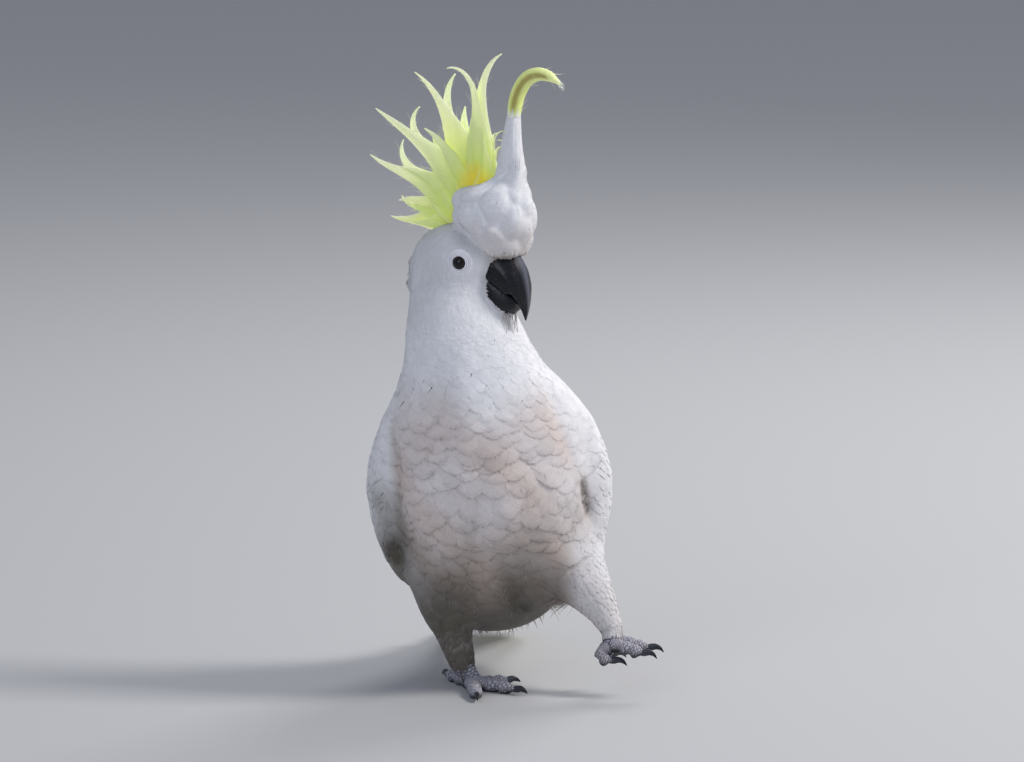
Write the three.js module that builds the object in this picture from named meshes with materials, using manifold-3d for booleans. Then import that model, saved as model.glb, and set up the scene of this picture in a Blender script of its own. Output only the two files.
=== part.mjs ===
// A sulphur-crested cockatoo at life size, walking. It stands on its right foot, lifts the
// left one in stride, raises its crest and turns its head to its own left.
// Millimetres, +Z up. The bird faces -Y, its left side is +X, the floor is z = 0, and the
// origin is under the ankle of the standing foot.
import * as THREE from 'three';
import { mergeVertices } from 'three/addons/utils/BufferGeometryUtils.js';
import Module from 'manifold-3d';

const wasm = await Module();
wasm.setup();

// Driving dimensions
const gap = 0.3;
const sliver = 0.06;
const crownHeight = 290;
const headTurn = THREE.MathUtils.degToRad(55);
const headCentre = new THREE.Vector3(-2, -17, crownHeight - 26);
const neckCutHeight = 236;
const shoulderCutHeight = 196;
const eyePlace = { out: 22.3, forward: 10, up: 4.5, look: 74 };
const eyeRadius = 5;
const eyeRingRadius = 5.5;
const eyeRingThickness = 1.15;
const eyeRingProud = 3.2;
const soleHeight = 3.4;

// Stations of the trunk and neck, evenly spaced from the tail root up to the head.
// x, y, z is the middle of the section, wide its half width, front and back its half depths.
const spine = {
  x: [12, 12, 11, 11, 10.5, 9.5, 7, 1.5, -4, -8],
  y: [92, 70, 40, 14, -6, -16, -20, -21, -20, -18],
  z: [48, 55, 70, 98, 132, 164, 187, 204, 225, 248],
  wide: [15, 34, 51, 61, 65.5, 62, 53, 43, 36, 29],
  front: [8, 24, 44, 53, 55, 48, 41, 36, 32, 26],
  back: [8, 20, 34, 46, 50, 48, 44, 40, 36, 31],
};

// The head in its own frame: -Y is forward, +X the left side, 0 the head's centre.
const skull = {
  y: [0, -1, -1, -1, -1, -1, -1],
  z: [-27, -17, -7, 3, 13, 21, 25.5],
  wide: [24, 26, 27, 27, 24.5, 18, 9],
  front: [15, 19, 23, 28, 31, 26, 13],
  back: [36, 39, 38.5, 38, 34.5, 25, 12],
};

const materials = {
  plumage: { color: 0xf1ece8, roughness: 0.85, metalness: 0 },
  crest: { color: 0xdbe86c, roughness: 0.8, metalness: 0 },
  horn: { color: 0x26262a, roughness: 0.5, metalness: 0 },
  eye: { color: 0x0c0a09, roughness: 0.08, metalness: 0 },
  bareSkin: { color: 0xcfccd2, roughness: 0.7, metalness: 0 },
  scaledSkin: { color: 0x77757e, roughness: 0.75, metalness: 0 },
};

// Value at t, from 0 to 1, of the Catmull-Rom cubic through evenly spaced stations.
function through(stations, t) {
  const last = stations.length - 1;
  if (last === 0) return stations[0];
  const place = THREE.MathUtils.clamp(t, 0, 1) * last;
  const i = Math.min(Math.floor(place), last - 1);
  const f = place - i;
  const here = stations[i];
  const next = stations[i + 1];
  const before = i > 0 ? stations[i - 1] : 2 * here - next;
  const after = i < last - 1 ? stations[i + 2] : 2 * next - here;
  const slope = (next - before) * f;
  const bow = (2 * before - 5 * here + 4 * next - after) * f * f;
  const twist = (3 * here - before - 3 * next + after) * f * f * f;
  return here + 0.5 * (slope + bow + twist);
}

function pointThrough(points, t) {
  return new THREE.Vector3(...[0, 1, 2].map((axis) => through(points.map((point) => point[axis]), t)));
}

// Closed solid through rings of points, each end closed by a fan round its own middle.
function loft(rings) {
  const sides = rings[0].length;
  const points = rings.flat();
  const ends = [rings[0], rings[rings.length - 1]].map((ring) => {
    const middle = new THREE.Vector3();
    ring.forEach((point) => middle.add(point));
    return middle.divideScalar(sides);
  });
  const firstEnd = points.length;
  const faces = [];
  for (let j = 0; j < sides; j += 1) {
    const k = (j + 1) % sides;
    const top = (rings.length - 1) * sides;
    faces.push(firstEnd, k, j, firstEnd + 1, top + j, top + k);
    for (let i = 0; i < top; i += sides) {
      faces.push(i + j, i + k, i + sides + k, i + j, i + sides + k, i + sides + j);
    }
  }
  const flat = [...points, ...ends].flatMap((point) => [point.x, point.y, point.z]);
  return solidOf(new Float32Array(flat), new Uint32Array(faces));
}

function solidOf(vertProperties, triVerts) {
  const solid = new wasm.Manifold(new wasm.Mesh({ numProp: 3, vertProperties, triVerts }));
  if (solid.volume() > 0) return solid;
  const turned = triVerts.map((value, i, all) => all[i - (i % 3) + 2 - (i % 3)]);
  return new wasm.Manifold(new wasm.Mesh({ numProp: 3, vertProperties, triVerts: turned }));
}

// Solid of a closed three.js geometry, moved by a matrix.
function solidFrom(geometry, matrix) {
  const bare = geometry.clone().applyMatrix4(matrix);
  bare.deleteAttribute('normal');
  bare.deleteAttribute('uv');
  const merged = mergeVertices(bare, 1e-4);
  return solidOf(new Float32Array(merged.attributes.position.array), new Uint32Array(merged.index.array));
}

// Oval sections carried along a path. The stations of the path, of the half width and of the
// half depths in front and behind are evenly spaced. side is where the width points, given
// once or at stations, keep says which parts of the path's heading tilt the sections, and grow
// makes the whole solid that much bigger, for the clearance round it.
function sweep({ path, wide, front, back = front, side, keep = [1, 1, 1], steps = 12, sides = 12 }, grow = 0) {
  const rings = [];
  for (let i = 0; i <= steps; i += 1) {
    const t = i / steps;
    const along = pointThrough(path, Math.min(t + 0.01, 1)).sub(pointThrough(path, Math.max(t - 0.01, 0)));
    along.multiply(new THREE.Vector3(...keep)).normalize();
    const across = pointThrough(side, t);
    across.addScaledVector(along, -along.dot(across)).normalize();
    const behind = new THREE.Vector3().crossVectors(along, across);
    const ends = (i === steps ? grow : 0) - (i === 0 ? grow : 0);
    const middle = pointThrough(path, t).addScaledVector(along, ends);
    const ring = [];
    for (let j = 0; j < sides; j += 1) {
      const angle = (2 * Math.PI * (j + 0.5)) / sides;
      const depth = (Math.sin(angle) > 0 ? through(back, t) : through(front, t)) + grow;
      const point = middle.clone();
      point.addScaledVector(across, Math.cos(angle) * (through(wide, t) + grow));
      point.addScaledVector(behind, Math.sin(angle) * depth);
      ring.push(point);
    }
    rings.push(ring);
  }
  return loft(rings);
}

// The trunk and neck
const spinePath = spine.x.map((x, i) => [x, spine.y[i], spine.z[i]]);

function trunk(grow = 0) {
  return sweep({ ...spine, path: spinePath, side: [[1, 0, 0]], keep: [0, 1, 1], steps: 18, sides: 18 }, grow);
}

// The head's own frame, placed and turned in the model's frame
const headFrame = new THREE.Matrix4().makeRotationZ(headTurn).setPosition(headCentre);

function inHeadFrame(solid) {
  return solid.transform(headFrame.elements);
}

function head(grow = 0) {
  const path = skull.y.map((y, i) => [0, y, skull.z[i]]);
  return inHeadFrame(sweep({ ...skull, path, side: [[1, 0, 0]], steps: 10, sides: 16 }, grow));
}

// Eyes sit in the sides of the head and look a little forwards. side is 1 on the left, -1 right.
function eyeFrame(side) {
  const place = new THREE.Matrix4().makeTranslation(side * eyePlace.out, -eyePlace.forward, eyePlace.up);
  const look = new THREE.Matrix4().makeRotationZ(side * THREE.MathUtils.degToRad(eyePlace.look));
  return headFrame.clone().multiply(place).multiply(look);
}

function eye(side, grow = 0) {
  return solidFrom(new THREE.SphereGeometry(eyeRadius + grow, 12, 8), eyeFrame(side));
}

function eyeRing(side, grow = 0) {
  const ring = new THREE.TorusGeometry(eyeRingRadius, eyeRingThickness + grow, 5, 14);
  ring.rotateX(Math.PI / 2);
  ring.translate(0, -eyeRingProud, 0);
  return solidFrom(ring, eyeFrame(side));
}

// The bill is swept in the head's frame from ridge to edge. Each pair is how far forward and
// how high; the section between them is an oval.
function bill({ ridge, edge, wide, steps, sides }, grow = 0) {
  const rings = [];
  for (let i = 0; i <= steps; i += 1) {
    const t = i / steps;
    const high = [0, 1].map((k) => through(ridge.map((p) => p[k]), t));
    const low = [0, 1].map((k) => through(edge.map((p) => p[k]), t));
    const reach = Math.hypot(high[0] - low[0], high[1] - low[1]);
    const stretch = (reach + 2 * grow) / reach;
    const ring = [];
    for (let j = 0; j < sides; j += 1) {
      const angle = (2 * Math.PI * j) / sides;
      const up = 0.5 + 0.5 * Math.cos(angle) * stretch;
      const forward = low[0] + (high[0] - low[0]) * up;
      const height = low[1] + (high[1] - low[1]) * up;
      const narrowing = 1 - 0.25 * Math.max(Math.cos(angle), 0);
      ring.push(new THREE.Vector3(Math.sin(angle) * (through(wide, t) * narrowing + grow), -forward, height));
    }
    rings.push(ring);
  }
  return inHeadFrame(loft(rings));
}

const upperBill = {
  ridge: [[24, 13], [34, 11.5], [40.5, 3], [43.5, -7], [44.5, -16], [44.3, -24], [42.8, -31]],
  edge: [[15, -3], [21, -8], [28, -12], [34, -15.5], [38.5, -18.5], [41, -25], [42, -30.4]],
  wide: [13.5, 13.5, 12.5, 10.5, 7, 3.4, 0.8],
  steps: 11,
  sides: 12,
};

const lowerBill = {
  ridge: [[17, -6], [24, -10], [30, -13.5], [35, -17], [38.3, -19.5]],
  edge: [[15, -22], [22, -26], [29, -28.5], [35.5, -26.5], [38.4, -21.5]],
  wide: [12, 12, 11, 8, 4],
  steps: 7,
  sides: 12,
};

// The white front of the crest: a full tuft over the forehead that narrows to a stalk, and
// the stalk's recurved yellow end.
const crestFront = {
  path: [
    [0, -25, 9], [0, -21, 22], [0, -19, 34], [0, -18, 46],
    [0, -23, 55.5], [0, -31.5, 61], [0, -33, 76], [0, -33.6, 92],
  ],
  wide: [12, 16, 17, 16, 12, 8, 5, 4],
  front: [13.9, 25, 28.5, 26, 19, 9, 5, 3.7],
  side: [[1, 0, 0]],
  keep: [0, 0, 1],
  steps: 16,
  sides: 12,
};

const crestTip = {
  path: [[0, -33.7, 92.3], [0, -36.3, 105], [0, -42.6, 115], [0, -51, 119], [0, -60, 118], [0, -67.5, 114]],
  wide: [3.8, 4.8, 4.6, 4.2, 3, 0.8],
  front: [4, 4.6, 4.7, 4.2, 3.2, 0.8],
  side: [[1, 0, 0]],
  steps: 10,
  sides: 8,
};

// The yellow plumes. lean is the angle from upright at the root, forwards positive, turn what
// the whole length adds to it and curl what the last stretch adds. splay leans it sideways.
const plumes = [
  { forward: 12, height: 37, length: 100, lean: -10, turn: 27, curl: 47, splay: 3, wide: 8 },
  { forward: 7, height: 45, length: 86, lean: 5, turn: -7, curl: -104, splay: 8, wide: 7.5 },
  { forward: 16, height: 26, length: 100, lean: -35, turn: 9, curl: 64, splay: -8, wide: 9 },
  { forward: 0, height: 47, length: 79, lean: -8, turn: -31, curl: -19, splay: 6, wide: 9 },
  { forward: 2, height: 26, length: 90, lean: -23, turn: -61, curl: 137, splay: -9, wide: 8 },
  { forward: 10, height: 23, length: 102, lean: -27, turn: -42, curl: 13, splay: 5, wide: 9 },
  { forward: -1, height: 34, length: 72, lean: -65, turn: -4, curl: 94, splay: -8, wide: 7 },
  { forward: 1, height: 31, length: 77, lean: -55, turn: -27, curl: 26, splay: 5, wide: 8 },
  { forward: -7, height: 32, length: 48, lean: -92, turn: 7, curl: 44, splay: -6, wide: 5.5 },
  { forward: -12, height: 27, length: 44, lean: -97, turn: 6, curl: 22, splay: 4, wide: 6.5 },
];

// Path of a plume: its heading turns evenly and then curls over the last third.
function plumePath({ forward, height, length, lean, turn, curl, splay }) {
  const joints = 8;
  const path = [[0, -forward, height]];
  for (let i = 0; i < joints; i += 1) {
    const t = (i + 0.5) / joints;
    const late = Math.max((t - 0.6) / 0.4, 0);
    const heading = THREE.MathUtils.degToRad(lean + turn * t + curl * late * late);
    const step = length / joints;
    const [x, y, z] = path[i];
    const out = Math.sin(THREE.MathUtils.degToRad(splay)) * step;
    path.push([x - out, y - Math.sin(heading) * step, z + Math.cos(heading) * step]);
  }
  return path;
}

function plume(shape, grow = 0) {
  const front = [0.5, 0.9, 1, 0.95, 0.75, 0.5, 0.3, 0.12].map((share) => share * shape.wide);
  const wide = [1.6, 1.8, 1.8, 1.6, 1.4, 1.2, 1, 0.6];
  const quill = { path: plumePath(shape), wide, front, side: [[1, 0.2, 0]], steps: 10, sides: 6 };
  return inHeadFrame(sweep(quill, grow));
}

// Folded wing: a layer over the trunk that is thickest at the side and runs out towards the
// breast and the shoulder, cut to the wing's outline seen from the side, with the long feathers
// of the tip lying over the tail. Thickness at the side is given per station of the spine, from
// the rump up. side is 1 on the left.
const wingThickness = [2, 3.5, 7, 10, 9.5, 4.5, 0, -6, -6, -6];
const wingOverBreast = -9;
const wingOverBack = 4;
const bodyMiddle = 12;
const wingOutline = [
  [-12, 180], [-25, 160], [-27, 132], [-15, 100], [10, 74], [44, 54], [84, 40],
  [104, 44], [92, 76], [74, 110], [50, 140], [26, 163], [4, 179],
];
const wingTip = [[34, 64, 76], [29, 84, 68], [22, 108, 58], [10, 136, 47]];

function wing(side) {
  const layer = sweep({
    path: spinePath,
    wide: spine.wide.map((width, i) => width + wingThickness[i]),
    front: spine.front.map((depth) => depth + wingOverBreast),
    back: spine.back.map((depth) => depth + wingOverBack),
    side: [[1, 0, 0]],
    keep: [0, 1, 1],
    steps: 18,
    sides: 18,
  });
  const outline = new THREE.Shape();
  outline.moveTo(...wingOutline[0]);
  outline.splineThru(wingOutline.slice(1).map(([y, z]) => new THREE.Vector2(y, z)));
  const cutter = new THREE.ExtrudeGeometry(outline, { depth: 120, bevelEnabled: false, curveSegments: 1 });
  const outwards = new THREE.Vector3(side, 0, 0);
  const place = new THREE.Matrix4().makeBasis(new THREE.Vector3(0, 1, 0), new THREE.Vector3(0, 0, 1), outwards);
  place.setPosition(bodyMiddle + side * gap, 0, 0);
  const tip = sweep({
    path: wingTip.map(([x, y, z]) => [bodyMiddle + side * x, y, z]),
    wide: [14, 15, 12, 4],
    front: [4, 4, 3, 1.2],
    side: [[-side * 0.9, 0.1, 0.4]],
    steps: 5,
    sides: 8,
  });
  return layer.intersect(solidFrom(cutter, place)).add(tip);
}

function tail(grow = 0) {
  return sweep({
    path: [[12, 78, 58], [12, 110, 47], [12, 145, 34], [12, 180, 23], [12, 214, 15]],
    wide: [18, 22, 27, 30, 23],
    front: [9, 7, 4.5, 2.6, 1],
    side: [[1, 0, 0]],
    steps: 7,
    sides: 12,
  }, grow);
}

// Feathered legs
function rightThigh(grow = 0) {
  return sweep({
    path: [[-8, 12, 72], [-13, 9, 52], [-11, 5, 34], [-6.5, 1, 18]],
    wide: [30, 21, 12, 8.5],
    front: [28, 20, 12, 9],
    side: [[1, 0, 0]],
    steps: 7,
    sides: 12,
  }, grow);
}

function leftThigh(grow = 0) {
  return sweep({
    path: [[46, -4, 98], [63, -12, 75], [77, -18, 56], [85, -22, 41]],
    wide: [32, 21, 12, 7],
    front: [28, 20, 12, 7.5],
    side: [[1, 0, 0]],
    steps: 7,
    sides: 12,
  }, grow);
}

// Bare lower legs
function tarsus(path, grow = 0) {
  const shank = { wide: [5, 4.8, 5.4], front: [5.2, 5, 5.6], side: [[1, 0, 0]], steps: 3, sides: 10 };
  return sweep({ ...shank, path }, grow);
}

const rightTarsusPath = [[-7, 2, 22], [-3, 1, 12], [0, 0, 5.2]];
const leftTarsusPath = [[85, -22, 44], [85.5, -24, 37], [85.5, -25.5, 30]];

const floor = solidFrom(new THREE.BoxGeometry(400, 600, 40), new THREE.Matrix4().makeTranslation(0, 0, -20));

// Toes of the standing foot: two forwards, two backwards. heading is measured from straight
// ahead towards the bird's left, and the soles are flat at z = 0.
const standingToes = {
  toe_right_1: { heading: 116, length: 24, thick: 4 },
  toe_right_2: { heading: 52, length: 34, thick: 4.2 },
  toe_right_3: { heading: 4, length: 42, thick: 4.3 },
  toe_right_4: { heading: 204, length: 37, thick: 4.2 },
};

function standingToePath({ heading, length }) {
  const turn = THREE.MathUtils.degToRad(heading);
  return [0.02, 0.35, 0.7, 1].map((share) => {
    const rise = share < 0.1 ? 0.6 : 0;
    return [Math.sin(turn) * length * share, -Math.cos(turn) * length * share, soleHeight + rise];
  });
}

// Toes of the lifted foot, gathered in stride: two reach out to the bird's left, two curl under.
const liftedToes = {
  toe_left_1: { path: [[83, -23, 30], [80, -19, 27], [81.5, -15, 24.5], [86, -13, 24]], thick: 4 },
  toe_left_2: { path: [[86, -27, 32], [92, -31, 31], [98, -34, 29.5], [104, -36, 28.5]], thick: 4.2 },
  toe_left_3: { path: [[87, -24, 34], [94, -25, 33], [101, -26.5, 31], [108, -28, 30.5]], thick: 4.3 },
  toe_left_4: { path: [[83, -27, 30], [79, -29, 27.5], [80, -31, 24], [85.5, -31.5, 23]], thick: 4 },
};

function toe({ path, thick }, grow = 0) {
  const wide = [1.15, 1, 0.95, 0.75].map((share) => share * thick);
  const front = [1.1, 0.95, 0.9, 0.7].map((share) => share * thick);
  return sweep({ path, wide, front, side: [[0.6, 0.8, 0.1]], steps: 5, sides: 8 }, grow);
}

// A claw carries on from the blunt end of its toe and hooks towards the ground.
function claw({ path, drop }) {
  const end = new THREE.Vector3(...path[path.length - 1]);
  const along = end.clone().sub(new THREE.Vector3(...path[path.length - 2])).normalize();
  const clawPath = [3 * gap, 3.8, 6.6, 9].map((reach, i) => {
    const point = end.clone().addScaledVector(along, reach);
    point.z += [0.2, 0.8, 0, -drop][i];
    return point.toArray();
  });
  const nail = { wide: [2, 1.7, 1.2, 0.4], front: [2.2, 2, 1.4, 0.4], side: [[0.6, 0.8, 0.1]], steps: 4, sides: 6 };
  return sweep({ ...nail, path: clawPath });
}

function slab(height) {
  const block = new THREE.BoxGeometry(300, 300, 600);
  return solidFrom(block, new THREE.Matrix4().makeTranslation(0, 0, height - 300));
}

const group = new THREE.Group();

// The largest piece that the cuts leave, without the slivers beside it
function mainPiece(solid) {
  const pieces = solid.simplify(sliver).decompose();
  return pieces.reduce((best, one) => (one.volume() > best.volume() ? one : best));
}

function show(name, solid, look) {
  const { vertProperties, triVerts, numProp } = mainPiece(solid).getMesh();
  const geometry = new THREE.BufferGeometry();
  const position = [];
  for (const corner of triVerts) {
    for (let k = 0; k < 3; k += 1) position.push(vertProperties[corner * numProp + k]);
  }
  geometry.setAttribute('position', new THREE.Float32BufferAttribute(position, 3));
  geometry.computeVertexNormals();
  const mesh = new THREE.Mesh(geometry, new THREE.MeshStandardMaterial(materials[look]));
  mesh.name = name;
  group.add(mesh);
}

const sides = { left: 1, right: -1 };

// Head, neck and trunk: one form, parted by level cuts
const thighs = { left: leftThigh, right: rightThigh };
const neckTop = slab(neckCutHeight);
const shoulders = slab(shoulderCutHeight);
const headHollows = Object.values(sides).flatMap((side) => [eye(side, gap), eyeRing(side, gap)]);
const wholeBody = trunk().add(head());
const aboveNeck = wholeBody.subtract(slab(neckCutHeight + gap));
const headSolid = headHollows.reduce((solid, hollow) => solid.subtract(hollow), aboveNeck);
show('head', headSolid, 'plumage');
show('neck', wholeBody.intersect(neckTop).subtract(slab(shoulderCutHeight + gap)), 'plumage');
show('trunk', wholeBody.intersect(shoulders), 'plumage');

for (const [name, side] of Object.entries(sides)) {
  show(`eye_${name}`, eye(side), 'eye');
  show(`eye_ring_${name}`, eyeRing(side), 'bareSkin');
}

const bodyRoom = trunk(gap).add(head(gap));
const upperBillRoom = bill(upperBill, gap);
show('bill_upper', bill(upperBill).subtract(bodyRoom), 'horn');
show('bill_lower', bill(lowerBill).subtract(bodyRoom).subtract(upperBillRoom), 'horn');

// Crest
const frontRoom = inHeadFrame(sweep(crestFront, gap));
const crestSwell = inHeadFrame(sweep(crestFront)).subtract(bodyRoom).subtract(upperBillRoom);
show('crest_front', crestSwell, 'plumage');
show('crest_tip', inHeadFrame(sweep(crestTip)).subtract(frontRoom), 'crest');
const tipRoom = inHeadFrame(sweep(crestTip, gap));
let crestRoom = bodyRoom.add(frontRoom).add(tipRoom);
plumes.forEach((shape, i) => {
  show(`crest_plume_${i + 1}`, plume(shape).subtract(crestRoom), 'crest');
  crestRoom = crestRoom.add(plume(shape, gap));
});

// Wings, tail and legs
const thighRoom = Object.values(thighs).map((thigh) => thigh(gap)).reduce((all, one) => all.add(one));
const tailRoom = tail(gap);
for (const [name, side] of Object.entries(sides)) {
  show(`wing_${name}`, wing(side).subtract(bodyRoom).subtract(thighRoom).subtract(tailRoom), 'plumage');
}
show('tail', tail().subtract(bodyRoom), 'plumage');

for (const [name, thigh] of Object.entries(thighs)) {
  show(`thigh_${name}`, thigh().subtract(bodyRoom), 'plumage');
}

const feet = {
  right: { tarsusPath: rightTarsusPath, toes: Object.entries(standingToes).map(([name, shape]) => (
    { name, path: standingToePath(shape), thick: shape.thick, drop: 1.6 })) },
  left: { tarsusPath: leftTarsusPath, toes: Object.entries(liftedToes).map(([name, shape]) => (
    { name, ...shape, drop: 2.4 })) },
};

for (const [name, { tarsusPath, toes }] of Object.entries(feet)) {
  const shank = tarsus(tarsusPath).subtract(thighs[name](gap)).subtract(floor);
  show(`tarsus_${name}`, shank, 'scaledSkin');
  let taken = tarsus(tarsusPath, gap).add(thighs[name](gap)).add(floor);
  for (const shape of toes) {
    show(shape.name, toe(shape).subtract(taken), 'scaledSkin');
    taken = taken.add(toe(shape, gap));
    show(shape.name.replace('toe', 'claw'), claw(shape).subtract(floor), 'horn');
  }
}

export default group;
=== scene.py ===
import bpy
import numpy as np
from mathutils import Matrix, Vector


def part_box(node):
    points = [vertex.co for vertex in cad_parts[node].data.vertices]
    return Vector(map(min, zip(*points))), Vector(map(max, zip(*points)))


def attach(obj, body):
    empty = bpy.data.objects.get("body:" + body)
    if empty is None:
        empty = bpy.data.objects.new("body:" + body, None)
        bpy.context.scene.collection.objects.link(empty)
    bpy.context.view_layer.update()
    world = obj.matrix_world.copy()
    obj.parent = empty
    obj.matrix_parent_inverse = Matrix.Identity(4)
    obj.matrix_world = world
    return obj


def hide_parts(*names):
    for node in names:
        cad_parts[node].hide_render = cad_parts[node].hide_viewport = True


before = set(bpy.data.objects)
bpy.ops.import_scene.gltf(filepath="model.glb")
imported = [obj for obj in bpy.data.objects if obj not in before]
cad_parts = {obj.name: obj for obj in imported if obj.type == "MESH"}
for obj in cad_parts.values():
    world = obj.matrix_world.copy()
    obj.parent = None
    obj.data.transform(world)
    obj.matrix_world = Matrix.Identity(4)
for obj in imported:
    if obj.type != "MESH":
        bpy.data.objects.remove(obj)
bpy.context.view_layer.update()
rng = np.random.default_rng(11)
mm = 0.001
patchSize = 0.003


def through(stations, t):
    # Catmull-Rom cubic through evenly spaced stations, read at t from 0 to 1
    table, t = np.asarray(stations, float), np.asarray(t, float)
    last = len(table) - 1
    place = np.clip(t, 0, 1) * last
    i = np.minimum(place.astype(int), last - 1)
    f = (place - i).reshape(place.shape + (1,) * (table.ndim - 1))
    ends = np.concatenate([2 * table[:1] - table[1:2], table, 2 * table[-1:] - table[-2:-1]])
    before, here, after, beyond = (ends[i + k] for k in range(4))
    bow = 2 * before - 5 * here + 4 * after - beyond
    return here + 0.5 * f * (after - before + f * (bow + f * (3 * (here - after) + beyond - before)))


def ease(low, high, x):
    # 0 below low, 1 above high, 3 t^2 - 2 t^3 between
    t = np.clip((np.asarray(x, float) - low) / (high - low), 0, 1)
    return t * t * (3 - 2 * t)


def bell(x, half):
    # exp(-(x / half)^2)
    return np.exp(-((x / half) ** 2))


def turnRound(count):
    # angles evenly round a circle
    return np.arange(count) / count * 2 * np.pi


def drawn(count, settings):
    # values for each feather: (low, high) is drawn evenly, [middle, spread] in a bell, a plain number stays
    made = {}
    for key, value in settings.items():
        if isinstance(value, dict):
            made[key] = drawn(count, value)
        elif isinstance(value, tuple):
            made[key] = rng.uniform(*value, count)
        else:
            made[key] = rng.normal(*value, count) if isinstance(value, list) else value
    return made


def evenly(count):
    # from 0 to 1 in even steps
    return np.linspace(0, 1, count)


def unit(vectors):
    return vectors / np.maximum(np.linalg.norm(vectors, axis=-1, keepdims=True), 1e-9)


def ripple(points, size, seed=0, waves=7, circle=6.28):
    # smooth noise from -1 to 1: a sum of sines along turned axes, size is the wavelength
    turns = np.random.default_rng(seed).normal(size=(waves, 3))
    phases = np.random.default_rng(seed + 1).uniform(0, circle, waves)
    turns = unit(turns) * circle / size * np.linspace(0.7, 1.5, waves)[:, None]
    return np.sin(points @ turns.T + phases).mean(-1) * 1.8


# the head's own frame, from the eyes' places: x left, -y forwards
def boxMiddle(node):
    low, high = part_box(node)
    return (np.array(low) + np.array(high)) * 500


eyeForward, eyeUp = 10, 4.5
eyesApart = boxMiddle("eye_left") - boxMiddle("eye_right")
turn = np.arctan2(eyesApart[1], eyesApart[0])
headAxes = np.array([[np.cos(turn), np.sin(turn), 0], [-np.sin(turn), np.cos(turn), 0], [0, 0, 1]])
headCentre = (boxMiddle("eye_left") + boxMiddle("eye_right")) / 2 - np.array([0, -eyeForward, eyeUp]) @ headAxes


def fromHead(points):
    # scene place = centre + head place * axes
    return headCentre + np.asarray(points, float) @ headAxes


def toHead(points):
    # and back: head place = (scene place - centre) on each axis
    return (np.asarray(points, float) - headCentre) @ headAxes.T


# surfaces: tables of points that feathers are laid on
def surfaceOf(points, inside):
    # table of points (rows, columns), columns close on themselves; normals point away from inside
    down = np.gradient(points, axis=0)
    wrapped = np.concatenate([points[:, -1:], points, points[:, :1]], axis=1)
    across = (wrapped[:, 2:] - wrapped[:, :-2]) / 2
    normal = unit(np.cross(across, down))
    flip = np.sign(np.sum(normal * (points - inside), axis=(0, 1)).sum())
    return {
        "points": points,
        "normals": normal * flip,
        "perU": np.linalg.norm(across, axis=-1) * points.shape[1],
        "perV": np.linalg.norm(down, axis=-1) * (points.shape[0] - 1),
    }


def readTable(table, u, v):
    # bilinear reading at u (wraps) and v (0 to 1)
    rows, columns = table.shape[:2]
    x = (u % 1) * columns
    y = np.clip(v, 0, 1) * (rows - 1)
    i = np.minimum(y.astype(int), rows - 2)
    j = x.astype(int) % columns
    k = (j + 1) % columns
    fx, fy = x - np.floor(x), y - i
    if table.ndim == 3:
        fx, fy = fx[..., None], fy[..., None]
    top = table[i, j] * (1 - fx) + table[i, k] * fx
    bottom = table[i + 1, j] * (1 - fx) + table[i + 1, k] * fx
    return top * (1 - fy) + bottom * fy


def soften(field, times):
    # each pass averages a cell with its neighbours: 1/4, 1/2, 1/4 both ways
    for _ in range(times):
        field = field / 2 + (np.roll(field, 1, 1) + np.roll(field, -1, 1)) / 4
        ends = np.concatenate([field[:1], field, field[-1:]])
        field = field / 2 + (ends[:-2] + ends[2:]) / 4
    return field


def tube(form, rows, columns, grow=0.0):
    # point = path + cos a * wide * across + sin a * depth * behind, a round each section
    t = evenly(rows)
    path = np.asarray(form["path"], float)
    along = through(path, np.minimum(t + 0.01, 1)) - through(path, np.maximum(t - 0.01, 0))
    along = unit(along * np.array(form.get("keep", (1, 1, 1))))
    across = np.broadcast_to(np.asarray(form.get("side", (1, 0, 0)), float), along.shape)
    across = unit(across - along * np.sum(along * across, -1, keepdims=True))
    behind = np.cross(along, across)
    a = turnRound(columns)
    wide = through(form["wide"], t)[:, None] + grow
    front = through(form["front"], t)[:, None] + grow
    back = through(form.get("back", form["front"]), t)[:, None] + grow
    depth = np.where(np.sin(a) > 0, back, front)
    middle = through(path, t)
    points = middle[:, None] + (np.cos(a) * wide)[..., None] * across[:, None]
    return points + (np.sin(a) * depth)[..., None] * behind[:, None], middle


# meshes: whole arrays of points and faces put into Blender at once
def addMesh(name, points, faces, finish, maps=None, values=None):
    # faces is a list of arrays, each of triangles or of quads; points in millimetres
    # finish is the material and the slot; the slot is not used
    material, slot = finish
    mesh = bpy.data.meshes.new(name)
    points = np.asarray(points, float).reshape(-1, 3) * mm
    faces = [np.asarray(f, int) for f in faces if len(f)]
    corners = np.concatenate([f.ravel() for f in faces])
    counts = np.concatenate([np.full(len(f), f.shape[1]) for f in faces])
    mesh.vertices.add(len(points))
    mesh.vertices.foreach_set("co", points.ravel())
    mesh.loops.add(len(corners))
    mesh.loops.foreach_set("vertex_index", corners)
    mesh.polygons.add(len(counts))
    mesh.polygons.foreach_set("loop_start", np.concatenate([[0], np.cumsum(counts)[:-1]]))
    mesh.polygons.foreach_set("use_smooth", np.full(len(counts), True))
    mesh.update(calc_edges=True)
    for mapName, uv in (maps or {}).items():
        layer = mesh.uv_layers.new(name=mapName)
        uv = np.asarray(uv, np.float32).reshape(-1, 2)
        layer.uv.foreach_set("vector", (uv if len(uv) == len(corners) else uv[corners]).ravel())
    for valueName, value in (values or {}).items():
        mesh.attributes.new(valueName, "FLOAT", "POINT").data.foreach_set("value", np.ravel(value))
    mesh.materials.append(material)
    piece = bpy.data.objects.new(name, mesh)
    bpy.context.scene.collection.objects.link(piece)
    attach(piece, "root")
    print(name, len(points), "points,", int((counts - 2).sum()), "triangles")
    return piece


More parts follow.
